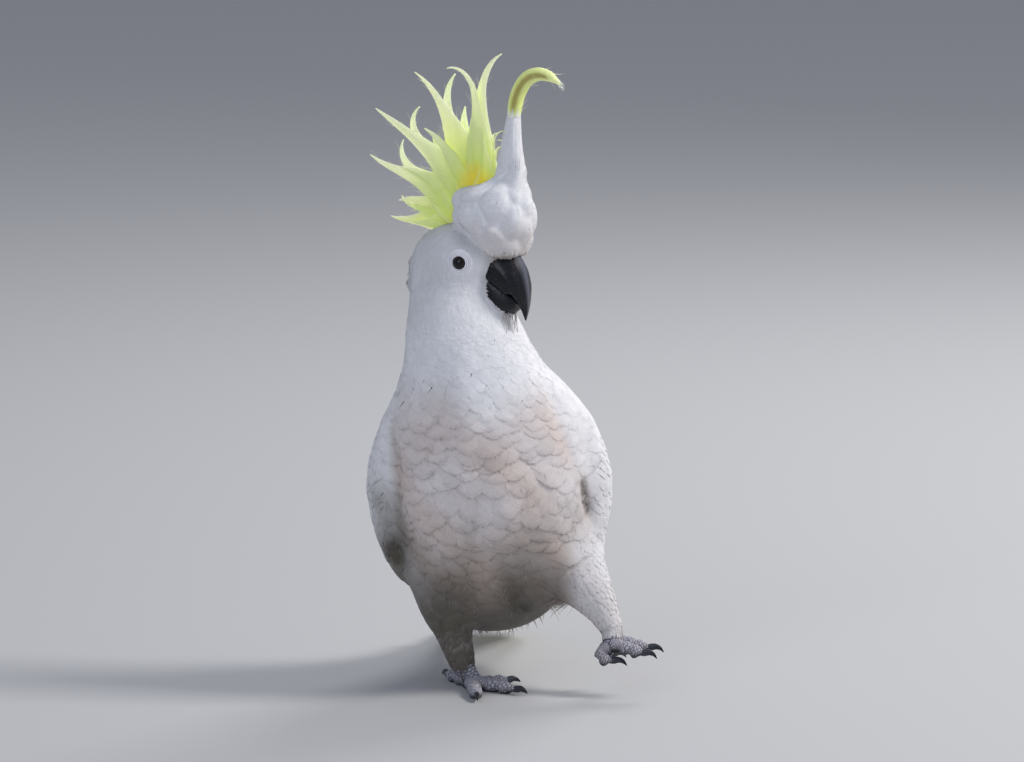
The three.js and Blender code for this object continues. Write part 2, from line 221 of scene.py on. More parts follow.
def gridFaces(rows, columns, closed=False):
    # quads between neighbours of a grid; closed joins the last column to the first
    i, j = np.meshgrid(np.arange(rows - 1), np.arange(columns if closed else columns - 1), indexing="ij")
    k = (j + 1) % columns
    here, below = i * columns, (i + 1) * columns
    return np.stack([here + j, here + k, below + k, below + j], -1).reshape(-1, 4)


def closedTube(points):
    # grid closed at both ends by a fan round the end ring's own middle
    rows, columns = points.shape[:2]
    flat = np.concatenate([points.reshape(-1, 3), points[:1].mean(1), points[-1:].mean(1)])
    j = np.arange(columns)
    k = (j + 1) % columns
    first, last = rows * columns, (rows - 1) * columns
    top = np.stack([k, j, np.full(columns, first)], 1)
    bottom = np.stack([last + j, last + k, np.full(columns, first + 1)], 1)
    ends = np.concatenate([top, bottom])
    return flat, [gridFaces(rows, columns, True), ends]


def shellCorners(rows, columns):
    # map of one closed tube for each face corner: u round it, v along it, the end fans beyond
    i, j = np.meshgrid(np.arange(rows - 1), np.arange(columns), indexing="ij")
    u = np.stack([j, j + 1, j + 1, j], -1).reshape(-1, 4) / columns
    v = np.stack([i, i, i + 1, i + 1], -1).reshape(-1, 4) / (rows - 1) * 0.92 + 0.04
    k = np.arange(columns)
    endU = np.concatenate([np.stack([k + 1, k, k + 0.5], 1), np.stack([k, k + 1, k + 0.5], 1)]) / columns
    endV = np.concatenate([np.tile([0.04, 0.04, 0.0], (columns, 1)),
                           np.tile([0.96, 0.96, 1.0], (columns, 1))])
    return np.stack([u, v], -1), np.stack([endU, endV], -1)


def withEnds(field):
    # each tube's grid as one row, with the middles of its first and last rings added
    ends = [field[:, k].mean(1)[:, None] for k in (0, -1)]
    return np.concatenate([field.reshape((len(field), -1) + field.shape[3:])] + ends, 1)


def repeatFaces(points, size):
    # the faces of one closed tube, again for every tube
    base = np.arange(len(points))[:, None, None] * size
    return [(faces[None] + base).reshape(-1, faces.shape[1]) for faces in closedTube(points[0])[1]]


def shellPiece(name, points, across, along, finish, values):
    # points (count, rows, columns, 3): many closed tubes or thin blades of one grid
    # across and along are the place on each in millimetres; every shell has its own cell of OFBake
    count, rows, columns = points.shape[:3]
    flat = withEnds(points)

    def spread(field):
        return withEnds(np.broadcast_to(field, points.shape[:3]))

    side = int(np.ceil(np.sqrt(count)))
    cell = np.stack([np.arange(count) % side, np.arange(count) // side], 1)[:, None, None] / side
    corners = [(cell + uv[None] * 0.94 / side).reshape(-1, 2) for uv in shellCorners(rows, columns)]
    maps = {"vane": np.stack([spread(across), spread(along)], -1) * 0.01, "OFBake": np.concatenate(corners)}
    values = {key: spread(field) for key, field in values.items()}
    return addMesh(name, flat, repeatFaces(points, flat.shape[1]), finish, maps, values)


def bladePoints(line, across, half, thick, cup, columns=18):
    # line, across (count, rows, 3); half, thick, cup (count, rows)
    # point = line + w * half * across + (sin a * thick + cup * w^2) * up, w = cos a, a round the blade
    along = unit(np.gradient(line, axis=1))
    across = unit(across - along * np.sum(across * along, -1, keepdims=True))
    up = np.cross(along, across)
    a = turnRound(columns)
    w = np.cos(a)
    rise = np.sin(a) * thick[..., None] + cup[..., None] * w ** 2
    points = line[:, :, None] + (w * half[..., None])[..., None] * across[:, :, None]
    return points + rise[..., None] * up[:, :, None], w


def hairPiece(name, start, direction, droop, length, width, curve, finish, bake, values, steps=4):
    # each hair is a three-sided taper along start + direction * s * length + droop * curve * s^2
    s = evenly(steps + 1)
    direction, droop = unit(direction), unit(droop)
    line = start[:, None] + direction[:, None] * (s * length[:, None])[..., None]
    line = line + droop[:, None] * (s ** 2 * curve[:, None])[..., None]
    across = unit(np.cross(direction, droop))
    up = np.cross(direction, across)
    a = turnRound(3)
    ring = np.cos(a)[:, None] * across[:, None, None] + np.sin(a)[:, None] * up[:, None, None]
    points = line[:, :, None] + ring * (width[:, None] * (1 - 0.9 * s))[..., None, None]
    flat = withEnds(points)
    size = flat.shape[1]
    reach = np.concatenate([np.repeat(s, 3), [0, 1]])
    place = np.stack([np.concatenate([np.tile(np.cos(a), steps + 1), [0, 0]]), reach * 2 - 1], 1) * patchSize / 2
    along = reach * length[:, None]
    maps = {"OFBake": bake[:, None] + place, "vane": np.stack([0 * along, along], -1) * 0.01}
    every = {key: np.repeat(np.broadcast_to(value, len(start)), size) for key, value in values.items()}
    every["reach"] = np.tile(reach, len(start))
    return addMesh(name, flat, repeatFaces(points, size), finish, maps, every)


# the body's form from the tail's tip up to the neck, then on to the crown
bodyForm = {
    "path": [
        (12, 214, 15), (12, 180, 23), (12, 145, 34), (12, 112, 45), (12, 92, 50), (12, 70, 55), (11, 40, 70),
        (11, 14, 98), (10.5, -6, 132), (9.5, -16, 164), (7, -20, 187), (1.5, -21, 204), (-4, -20, 225),
        (-8, -18, 248),
    ],
    "wide": [23, 30, 27, 22, 20, 34, 51, 61, 65.5, 62, 53, 43, 36, 29],
    "front": [1, 2.6, 4.5, 7, 9, 24, 44, 53, 55, 48, 41, 36, 32, 26],
    "back": [1, 2.6, 4.5, 7, 9, 20, 34, 46, 50, 48, 44, 40, 36, 31],
    "wing": [-6, -6, -6, -3, 1, 3.5, 7, 10, 9.5, 4.5, 0, -6, -6, -6],
    "crownPath": [(-8, -18, 248), (-6, -17.5, 262), (-4, -17, 276), (-3, -17, 291.5)],
    "crownRows": 54,
    "crownFade": 15,
    "skullFrom": 220,
    # how soft the joins are: each form's radius is raised to this power before they are added
    "joinPower": 14,
    "overBreast": -9,
    "overBack": 4,
    "wingOutline": [
        (-12, 180), (-25, 160), (-27, 132), (-15, 100), (10, 74), (44, 54), (84, 40),
        (104, 44), (92, 76), (74, 110), (50, 140), (26, 163), (4, 179),
    ],
    "rowStep": 1.15,
    "columns": 300,
}
skullForm = {
    "height": [-27, -17, -7, 3, 13, 21, 25.5],
    "wide": [24, 26, 27, 27, 24.5, 18, 9],
    "front": [15, 19, 23, 28, 31, 26, 13],
    "back": [36, 39, 38.5, 38, 34.5, 25, 12],
}
# crest front: sections up its path, given in the head's frame
crestFrontForm = {
    "path": [
        (0, -24, 5), (0, -24.5, 10), (0, -21, 22), (0, -19, 34), (0, -18, 45.5), (0, -22, 51),
        (0, -26.5, 55.5), (0, -31.5, 61), (0, -33, 76), (0, -33.6, 92),
    ],
    "wide": [7, 15, 20, 20, 17, 12, 8.5, 6.6, 5, 4],
    "front": [7, 14.5, 25, 28.5, 26.5, 21, 14.5, 9, 5.2, 3.7],
    "back": [7, 14.5, 25, 27.5, 24, 10, 7, 9.2, 7.3, 3.7],
    "keep": (0, 0, 1),
    "swell": 0.3, "swellHalf": 4.0,
}
# each hollow or swelling: from, bend, to, depth (minus swells), half width
bodyRelief = [
    ((67.9, -32.3, 132.5), (68.7, -29.5, 124.6), (70.8, -23.7, 113.9), 6.5, 1.7),
    ((46.4, -41, 191.6), (53.3, -46.3, 170.5), (61.8, -41.6, 149), 1.5, 4.5),
    ((17.4, -41.2, 87), (24.2, -25.8, 65.4), (31.4, -5.6, 49.9), 3.4, 4.5),
    ((-16, -57, 128), (-22, -50, 112), (-20, -45, 98), 1.3, 5.0),
    ((12, 60, 160), (12, 75, 120), (12, 85, 80), 1.2, 5.0),
    ((-37, 2, 264), (-38, 2, 257), (-37, 2, 250), -5.0, 5.8),
    ((-36, 5, 232), (-37, 6, 227), (-38, 6, 222), -1.6, 6.0),
    ((-47.7, -29.6, 163.1), (-43.6, -37, 142), (-44.6, -30.6, 124.1), 1.7, 6.6),
    ((-44.6, -30.6, 124.1), (-42.2, -22.7, 98), (-46, -2, 84), 1.8, 6.0),
    ((-58.6, -23.8, 132.8), (-53.5, -16.8, 107.4), (-48, 0, 84), 1.8, 6.5),
    ((-8, -60, 150), (14, -62, 146), (40, -54, 150), 1.2, 4.5),
    ((-30, -52, 132), (0, -61, 124), (30, -58, 128), 1.1, 5.0),
    ((-25, -38, 84), (5, -43, 86), (29, -43, 90), 1.5, 5.0),
    ((2, -46, 92), (2, -34, 74), (-2, -20, 58), 1.2, 5.0),
]


def ovalRadius(angle, wide, front, back):
    # distance from the middle of an oval to its edge: 1 / sqrt((cos / wide)^2 + (sin / depth)^2)
    depth = np.where(np.sin(angle) > 0, back, front)
    return 1 / np.sqrt((np.cos(angle) / wide) ** 2 + (np.sin(angle) / depth) ** 2)


def distanceTo(points, places):
    # distance to the nearest of the places
    away = np.full(points.shape[:-1], 1e9)
    for place in places:
        away = np.minimum(away, np.linalg.norm(points - place, axis=-1))
    return away


def strokeNearness(points, start, bend, end, halfWidth, count=12):
    # exp(-(distance to the stroke / half width)^2)
    stroke = through([start, bend, end], evenly(count))
    return bell(distanceTo(points, stroke), halfWidth)


def insideOutline(points, outline):
    # signed distance in the side view to a closed outline, plus inside
    corners = np.asarray(outline, float)
    ahead = np.roll(corners, -1, 0)
    nearest = np.full(points.shape[:-1], 1e9)
    inside = np.zeros(points.shape[:-1], bool)
    for a, b in zip(corners, ahead):
        reach = points - a
        share = np.clip(reach @ (b - a) / ((b - a) @ (b - a)), 0, 1)
        nearest = np.minimum(nearest, np.linalg.norm(reach - share[..., None] * (b - a), axis=-1))
        spans = (a[1] > points[..., 1]) != (b[1] > points[..., 1])
        rise = np.where(b[1] == a[1], 1e-9, b[1] - a[1])
        inside ^= spans & (points[..., 0] < (b[0] - a[0]) * (points[..., 1] - a[1]) / rise + a[0])
    return np.where(inside, nearest, -nearest)


def skullValue(points):
    # below 1 inside the head: (x / wide)^2 + (y / depth)^2 at the head's own heights
    local = toHead(points)
    x, y, z = local[..., 0], local[..., 1] + 1, local[..., 2]
    share = evenly(60)
    heights = through(skullForm["height"], share)
    wide, front, back = (np.interp(z, heights, through(skullForm[k], share))
                         for k in ("wide", "front", "back"))
    cap = np.sqrt(np.clip(1 - (np.maximum(z - 25.5, 0) / 2.2) ** 2, 1e-4, 1))
    cap = np.where(z < -27, 1e-3, cap)
    return (x / (wide * cap)) ** 2 + (y / (np.where(y < 0, front, back) * cap)) ** 2


# the folded wing in the side view: its shoulder (y, z), and the cosine and sine of its slope
wingStart, wingSlope = (-15, 150), (0.747, 0.665)


def buildBody(rayStep=0.5):
    # point = path + ray * radius, radius = (trunk^p + skull^p + hips^p)^(1/p), less the hollows of bodyRelief
    form = bodyForm
    fine = evenly(3000)
    path = through(form["path"], fine)
    reach = np.concatenate([[0], np.cumsum(np.linalg.norm(np.diff(path, axis=0), axis=1))])
    rows = int(reach[-1] / form["rowStep"])
    t = np.interp(np.linspace(0, reach[-1], rows), reach, fine)
    crownRows, quarter = form["crownRows"], np.pi / 2 * 0.985
    rise = np.sin(evenly(crownRows + 1)[1:] * quarter) / np.sin(quarter)
    crown = through(form["crownPath"], rise)
    middle = np.concatenate([through(form["path"], t), crown])
    padded = np.concatenate([np.repeat(middle[:1], 8, 0), middle, np.repeat(middle[-1:], 8, 0)])
    eased = np.stack([np.convolve(padded[:, k], np.ones(9) / 9, "same")[8:-8] for k in range(3)], 1)
    heading = unit(np.gradient(eased, axis=0) * (0, 1, 1))
    behind = np.stack([np.zeros(len(heading)), heading[:, 2], -heading[:, 1]], 1)
    angle = turnRound(form["columns"])
    ray = np.cos(angle)[:, None] * np.array([1.0, 0, 0]) + np.sin(angle)[:, None] * behind[:, None]

    tAll = np.concatenate([t, np.ones(crownRows)])
    wide, front, back, wing = (through(form[k], tAll)[:, None] for k in ("wide", "front", "back", "wing"))
    fade = np.ones(len(tAll))
    fade[rows:] = np.sqrt(np.clip(1 - ((crown[:, 2] - form["crownPath"][0][2]) / form["crownFade"]) ** 2,
                                  1e-4, 1))
    trunk = ovalRadius(angle, wide, front, back) * fade[:, None]
    layer = ovalRadius(angle, wide + wing, np.maximum(front + form["overBreast"], 1), back + form["overBack"])
    surface = middle[:, None] + ray * trunk[..., None]
    y, z = surface[..., 1] - wingStart[0], surface[..., 2] - wingStart[1]
    backward = ease(-6, 22, y * wingSlope[1] + z * wingSlope[0])
    cover = ease(-2.5 - 34 * backward, 2.5 + 3 * backward,
                 insideOutline(surface[..., 1:], form["wingOutline"]))
    trunk = trunk + np.maximum(layer - trunk, 0) * cover

    skull = np.zeros_like(trunk)
    # the skull's radius is where each ray leaves it, found by steps along the ray
    near = np.flatnonzero(middle[:, 2] > form["skullFrom"])
    near = near[near > rows // 2]
    steps = np.arange(0, 62, rayStep)
    for i in near:
        value = skullValue(middle[i] + ray[i][:, None] * steps[:, None])
        within = value < 1
        last = within.shape[1] - 1 - np.argmax(within[:, ::-1], 1)
        nextOne = np.minimum(last + 1, len(steps) - 1)
        column = np.arange(len(angle))
        here, there = value[column, last], value[column, nextOne]
        part = np.clip((1 - here) / np.maximum(there - here, 1e-6), 0, 1)
        skull[i] = np.where(within.any(1), (last + part) * rayStep, 0)

    # the hips: rays against balls strung along each thigh's upper half
    hips = np.zeros_like(trunk)
    for leg in legForms.values():
        for s in np.linspace(0, 0.5, 9):
            centre, wide, front = (through(leg["thigh"][key], s) for key in ("path", "wide", "front"))
            radius = (wide + front) / 2 - 1
            toward = centre - middle[:, None]
            run = np.sum(ray * toward, -1)
            left = radius ** 2 - (np.sum(toward ** 2, -1) - run ** 2)
            far = np.where((left > 0) & (run > 0), run + np.sqrt(np.maximum(left, 0)), 0)
            hips = np.maximum(hips, np.minimum(far, trunk + 16))

    power = form["joinPower"]
    radius = (trunk ** power + skull ** power + hips ** power) ** (1 / power)
    crownFade = np.clip((len(tAll) - 1 - np.arange(len(tAll))) / 6, 0, 1)[:, None]
    radius = np.where(crownFade < 1, np.maximum(radius, 0.6), soften(radius, 5))
    surface = middle[:, None] + ray * radius[..., None]
    for start, bend, end, depth, halfWidth in bodyRelief:
        radius = radius - depth * strokeNearness(surface, start, bend, end, halfWidth, 24)
    # the forehead rises to meet the crest front: swell * exp(-(distance / half width)^2)
    root = fromHead(tube(crestFrontForm, 26, 30)[0][2:12]).reshape(-1, 3)
    upper = middle[:, 2] > 228
    radius[upper] += crestFrontForm["swell"] * bell(distanceTo(surface[upper], root),
                                                    crestFrontForm["swellHalf"])
    swell = ease(60, 110, surface[..., 2]) * (1 - ease(215, 240, surface[..., 2]))
    radius = radius + 0.5 * ripple(surface, 34, 3) * swell + 0.25 * ripple(surface, 15, 5) * swell
    surface = middle[:, None] + ray * radius[..., None]
    body = surfaceOf(surface, middle[:, None])
    body["middle"] = middle
    return body


legForms = {
    "right": {
        "thigh": {
            "path": [(-8, 12, 72), (-13, 9, 52), (-11, 5, 34), (-6.5, 1, 18)],
            "wide": [30, 21, 12, 8.5], "front": [28, 20, 12, 9],
        },
        "cuff": {
            "path": [(-9.6, 3.6, 29), (-6.5, 1, 18), (-3.9, 1, 10.5)],
            "wide": [10.4, 8.3, 6.1], "front": [10.8, 8.8, 6.2],
        },
    },
    "left": {
        "thigh": {
            "path": [(46, -4, 98), (63, -12, 75), (77, -18, 56), (85, -22, 41)],
            "wide": [32, 21, 12, 7], "front": [28, 20, 12, 7.5],
        },
        "cuff": {
            "path": [(81.5, -20.3, 48.5), (85, -22, 41), (85.4, -24.6, 34.5)],
            "wide": [9.2, 6.9, 6.0], "front": [9.6, 7.4, 6.1],
        },
    },
}
body = buildBody()
print("body form", body["points"].shape, *(edge(body["points"], (0, 1)).round(1)
                                           for edge in (np.min, np.max)))


# materials: small helpers that place nodes and join them
def newNode(tree, kind, **sockets):
    # names that aren't the node's own settings are its sockets, with _ for a space
    node = tree.nodes.new("ShaderNode" + kind)
    for key, value in sockets.items():
        if hasattr(node, key):
            setattr(node, key, value)
        else:
            node.inputs[key.replace("_", " ")].default_value = value
    return node


def give(tree, source, socket):
    # a socket takes a node's output, one of the piece's attributes by name, a number, or a colour of three
    if isinstance(source, str):
        source = newNode(tree, "Attribute", attribute_name=source).outputs["Fac"]
    if isinstance(source, bpy.types.NodeSocket):
        tree.links.new(source, socket)
    else:
        socket.default_value = (*source, 1) if isinstance(source, tuple) else source


def scaleValue(tree, source, low, high, toLow=0.0, toHigh=1.0):
    # low to high stretched to toLow to toHigh, held at the ends
    node = newNode(tree, "MapRange")
    for name, value in (("From Min", low), ("From Max", high), ("To Min", toLow), ("To Max", toHigh)):
        node.inputs[name].default_value = value
    give(tree, source, node.inputs["Value"])
    return node.outputs["Result"]


def mixColour(tree, factor, first, second, kind="MIX"):
    node = newNode(tree, "Mix", data_type="RGBA", blend_type=kind)
    colours = [socket for socket in node.inputs if socket.type == "RGBA"]
    for source, socket in zip((factor, first, second), [node.inputs["Factor"]] + colours):
        give(tree, source, socket)
    return next(socket for socket in node.outputs if socket.type == "RGBA")


def calc(tree, operation, first, second=0.0):
    node = newNode(tree, "Math", operation=operation)
    give(tree, first, node.inputs[0])
    give(tree, second, node.inputs[1])
    return node.outputs[0]


def layColours(tree, colour, *layers):
    # each layer is a mask and a colour, laid over the one before
    for mask, top in layers:
        colour = mixColour(tree, mask, colour, top)
    return colour


def multiplyGrey(tree, colour, value):
    # red, green and blue each times one value
    grey = newNode(tree, "CombineColor")
    for channel in ("Red", "Green", "Blue"):
        give(tree, value, grey.inputs[channel])
    return mixColour(tree, 1.0, colour, grey.outputs[0], "MULTIPLY")


def newMaterial(name, roughness, **fixed):
    material = bpy.data.materials.new(name)
    material.use_nodes = True
    shader = material.node_tree.nodes["Principled BSDF"]
    shader.inputs["Roughness"].default_value = roughness
    for key, value in fixed.items():
        shader.inputs[key.replace("_", " ")].default_value = value
    return material, material.node_tree, shader


def objectTexture(tree, kind, **sockets):
    # a texture over the object's own coordinates
    texture = newNode(tree, kind, **sockets)
    give(tree, newNode(tree, "TexCoord").outputs["Object"], texture.inputs["Vector"])
    return texture


def addBump(tree, shader, height, strength, distance):
    bump = newNode(tree, "Bump", Strength=strength, Distance=distance)
    give(tree, height, bump.inputs["Height"])
    give(tree, bump.outputs[0], shader.inputs["Normal"])


def newGroup(name, inputs, outputs):
    group = bpy.data.node_groups.new(name, "ShaderNodeTree")
    for socketName, kind, value in inputs:
        group.interface.new_socket(name=socketName, in_out="INPUT", socket_type=kind).default_value = value
    for socketName, kind in outputs:
        group.interface.new_socket(name=socketName, in_out="OUTPUT", socket_type=kind)
    start = group.nodes.new("NodeGroupInput")
    end = group.nodes.new("NodeGroupOutput")
    return group, start, end


def placeGroup(tree, group, **values):
    node = tree.nodes.new("ShaderNodeGroup")
    node.node_tree = group
    for key, value in values.items():
        node.inputs[key].default_value = value
    return node


barbScale = {"along": 100.0, "across": 14.0}


# barbs: streaks along a feather's own map, running out from the shaft towards the tip
def makeBarbGroup():
    tree, start, end = newGroup("barbStreaks", [
        ("Slant", "NodeSocketFloat", 0.8), ("Fineness", "NodeSocketFloat", 1.0),
    ], [("Streak", "NodeSocketFloat"), ("Shaft", "NodeSocketFloat")])
    vane = newNode(tree, "UVMap", uv_map="vane")
    parts = newNode(tree, "SeparateXYZ")
    give(tree, vane.outputs[0], parts.inputs[0])
    side = calc(tree, "ABSOLUTE", parts.outputs["X"])
    lean = calc(tree, "SUBTRACT", parts.outputs["Y"], calc(tree, "MULTIPLY", side, start.outputs["Slant"]))
    place = newNode(tree, "CombineXYZ")
    lean = calc(tree, "MULTIPLY", lean, barbScale["along"])
    give(tree, calc(tree, "MULTIPLY", lean, start.outputs["Fineness"]), place.inputs["X"])
    give(tree, calc(tree, "MULTIPLY", parts.outputs["X"], barbScale["across"]), place.inputs["Y"])
    noise = newNode(tree, "TexNoise", Scale=1.0, Detail=3.0, Roughness=0.6)
    give(tree, place.outputs[0], noise.inputs["Vector"])
    give(tree, scaleValue(tree, noise.outputs["Fac"], 0.3, 0.7), end.inputs["Streak"])
    give(tree, scaleValue(tree, side, 0.0, 0.006, 1.0, 0.0), end.inputs["Shaft"])
    return tree


barbGroup = makeBarbGroup()

plumageLook = {
    "white": (0.86, 0.86, 0.88),
    "warm": (0.68, 0.555, 0.49),
    # grime colour: real dirt, and also painted shade where the marks put shade in folds and under the belly
    "grimeAndShade": (0.108, 0.096, 0.074),
    "base": (0.66, 0.62, 0.61),
    "wash": (0.86, 0.80, 0.42),
    "shaft": (0.42, 0.39, 0.34),
    "roughness": 0.9, "gloss": 0.15, "sheen": 0.2, "sheenRoughness": 0.5,
    "barbs": (0.90, 1.02), "tones": (0.94, 1.03), "bump": (0.35, 0.0003),
}


def shadeFeather(tree, colour, barbs, look):
    # the colour times the barbs' streaks and the feather's own tone
    streak = scaleValue(tree, barbs.outputs["Streak"], 0, 1, *look["barbs"])
    tone = scaleValue(tree, "tone", 0, 1, *look["tones"])
    return multiplyGrey(tree, colour, calc(tree, "MULTIPLY", streak, tone))


# plumage colour from the marks that skin and coat share: warm stain, grime with painted shade, and the feather's
# own tone
def makePlumage(name, look, onFeather=True, shaft=0.0):
    material, tree, shader = newMaterial(
        name, look["roughness"], Specular_IOR_Level=look["gloss"],
        Sheen_Weight=look["sheen"], Sheen_Roughness=look["sheenRoughness"])
    colour = layColours(tree, look["white"], ("stain", look["warm"]), ("grimeAndShade", look["grimeAndShade"]))
    if onFeather:
        barbs = placeGroup(tree, barbGroup, Slant=0.8, Fineness=1.0)
        low = scaleValue(tree, "reach", 0.35, 0.8, 0.16, 0.0)
        colour = layColours(tree, colour, (low, look["base"]), ("wash", look["wash"]))
        colour = shadeFeather(tree, colour, barbs, look)
        if shaft:
            colour = mixColour(tree, scaleValue(tree, barbs.outputs["Shaft"], 0, 1, 0, shaft), colour,
                               look["shaft"])
        addBump(tree, shader, barbs.outputs["Streak"], *look["bump"])
    give(tree, colour, shader.inputs["Base Color"])
    return material


plumage = makePlumage("whitePlumage", plumageLook)
whiteFeather = (plumage, "white_plumage")
flightFeather = (makePlumage("flightPlumage", plumageLook, shaft=0.55), "white_plumage")
underFeather = (makePlumage("underPlumage", plumageLook, onFeather=False), "white_plumage")


# marks that skin and coat share, from the place on the body alone
def calmSide(points):
    # 1 on the smooth shoulders of the folded wings, 0 on the breast between them
    x, z = points[..., 0], points[..., 2]
    left = np.interp(z, [100, 132, 143, 165, 192, 215], [74, 67.6, 62.8, 53.6, 44.5, 38])
    right = np.interp(z, [70, 92, 125, 164, 195], [-50, -46, -45, -48, -42])
    return np.maximum(ease(-3, 6, x - left), ease(-3, 6, right - x)) * ease(60, 90, z) * (1 - ease(200, 215, z))


# painted shade in folds and creases, under the crest front, and on the shaded side of the head and flank: from,
# bend, to, half width, amount
shadeStrokes = [
    ((67.9, -32.3, 132.5), (68.7, -29.5, 124.6), (70.8, -23.7, 113.9), 2.5, 1.8),
    ((17.4, -41.2, 87), (24.2, -25.8, 65.4), (31.4, -5.6, 49.9), 5.0, 0.14),
    ((-47.7, -29.6, 163.1), (-44.8, -36, 140.6), (-44.1, -30.6, 124.1), 4.0, 0.22),
    ((-44.1, -30.6, 118), (-42.2, -22.7, 98), (-46, -2, 84), 8.0, 0.40),
    ((-57, -21, 118), (-53.5, -16.8, 105), (-48, 0, 84), 13.0, 0.50),
    ((-25.3, -12.8, 284), (-20, -30, 262), (-27, -28, 236), 14.0, 0.20),
    ((-36, 3, 266), (-39, -8, 240), (-41, -12, 216), 9.0, 0.18),
    ((-12.2, -14, 290), (-4, -40, 281), (12, -44.4, 272.6), 5.0, 0.36),
    ((11.1, -43.8, 269.7), (8.3, -42.2, 263.1), (9.8, -38.9, 251.5), 3.4, 0.16),
]


markForm = {
    "stain": 0.40, "blotch": 0.40, "bellyStain": 0.5, "bellyGrimeAndShade": 0.95, "specks": 0.20, "shank": 0.30,
    # how far the lit flank is painted clean and pale as painted light, and how far the smooth shoulders stay
    # pale
    "litFlankClean": 0.85, "litFlankPale": 0.75, "paleShoulder": 0.8,
}


def marksAt(points):
    # warm stain over breast and belly, grime low down and in blotches, painted shade in folds and partly under
    # the belly; both are lifted on the lit flank as painted light, and the stain also fades on the smooth
    # shoulders
    x, y, z = points[..., 0], points[..., 1], points[..., 2]
    facing = 1 - ease(-30, 2, y + 5 * ripple(points, 40, 25))
    low = 1 - ease(160, 208, z + 6 * ripple(points, 60, 21))
    patch = 0.5 + 0.5 * ripple(points, 42, 23)
    # the flank on the key lamp's side: stain and grime are lifted there as painted light
    litFlank = np.maximum(ease(50, 68, x) * (1 - ease(90, 116, z)), ease(76, 88, x))
    belly = ((1 - ease(56, 84, y + 6 * ripple(points, 30, 29)))
             * (1 - ease(44, 122, z + 9 * ripple(points, 50, 27))))
    speck = ease(0.35, 0.8, ripple(points, 9, 31)) * ease(0.0, 0.6, ripple(points, 38, 33))
    form = markForm
    # the belly's grime is partly painted shade beneath the body
    grimeAndShade = belly * form["bellyGrimeAndShade"] + facing * low * speck * form["specks"]
    # painted shade along the strokes, added to the grime
    strokeShade = sum(amount * strokeNearness(points, *stroke) for *stroke, amount in shadeStrokes)
    grimeAndShade = grimeAndShade * (1 - form["litFlankClean"] * litFlank) + strokeShade
    shank = (1 - ease(18, 28, z)) * form["shank"]
    stain = facing * low * (form["stain"] + form["blotch"] * patch) + form["bellyStain"] * belly
    stain = stain * (1 - form["litFlankPale"] * litFlank) * (1 - form["paleShoulder"] * calmSide(points))
    return {"stain": np.clip(stain, 0, 1), "grimeAndShade": np.clip(np.maximum(grimeAndShade, shank), 0, 1)}


# crest front: soft pillows in the surface, fine feathers laid upwards over them
crestFrontCoat = {
    "height": [9, 20, 34, 46, 54, 60, 70, 92],
    "stepAlong": [2.6, 3.0, 3.3, 3.3, 3.2, 3.0, 2.8, 2.6],
    "stepAcross": [2.2, 2.6, 2.9, 2.9, 2.6, 2.2, 2.0, 1.9],
    "length": [8, 10, 11.5, 11.5, 12, 12, 11, 10],
    "half": [2.0, 2.5, 2.9, 2.9, 2.6, 2.1, 1.8, 1.6],
    "depth": [0.5, 0.5, 0.5, 0.5, 0.4, 0.32, 0.28, 0.25],
    # pillows: angle in degrees (180 right, 270 forwards), height, half width, half height, rise
    "pillows": [
        (162, 47, 9, 8.5, 5.0), (163, 31, 9.5, 9.5, 4.6), (176, 15, 10, 9, 2.6), (128, 44, 10, 10, 3.4),
        (128, 26, 10, 11, 3.0), (209, 42, 10.5, 15, 3.8), (206, 19, 10, 10, 2.8), (236, 30, 10, 13, 3.0),
        (242, 50, 10, 12, 2.6), (240, 12, 9, 8, 2.2), (264, 22, 9, 12, 2.6), (268, 43, 10, 14, 2.8),
        (292, 32, 11, 14, 2.5), (298, 50, 11, 13, 2.4), (300, 14, 10, 10, 2.3), (324, 42, 10, 13, 2.8),
        (330, 22, 10, 11, 2.6), (0, 36, 10, 13, 3.0), (20, 18, 10, 10, 2.6), (34, 46, 10, 11, 3.0),
        (62, 32, 10, 12, 3.0), (92, 44, 10, 11, 3.0), (96, 24, 10, 11, 2.8),
    ],
    # creases between pillows, deepest round lobesAt (degrees), within lobesHalf (radians) of it
    "crease": 0.75, "lobeCrease": 2.6, "creaseHalf": 0.38, "lobesAt": 188, "lobesHalf": 0.6,
    "rows": 170, "columns": 180,
}


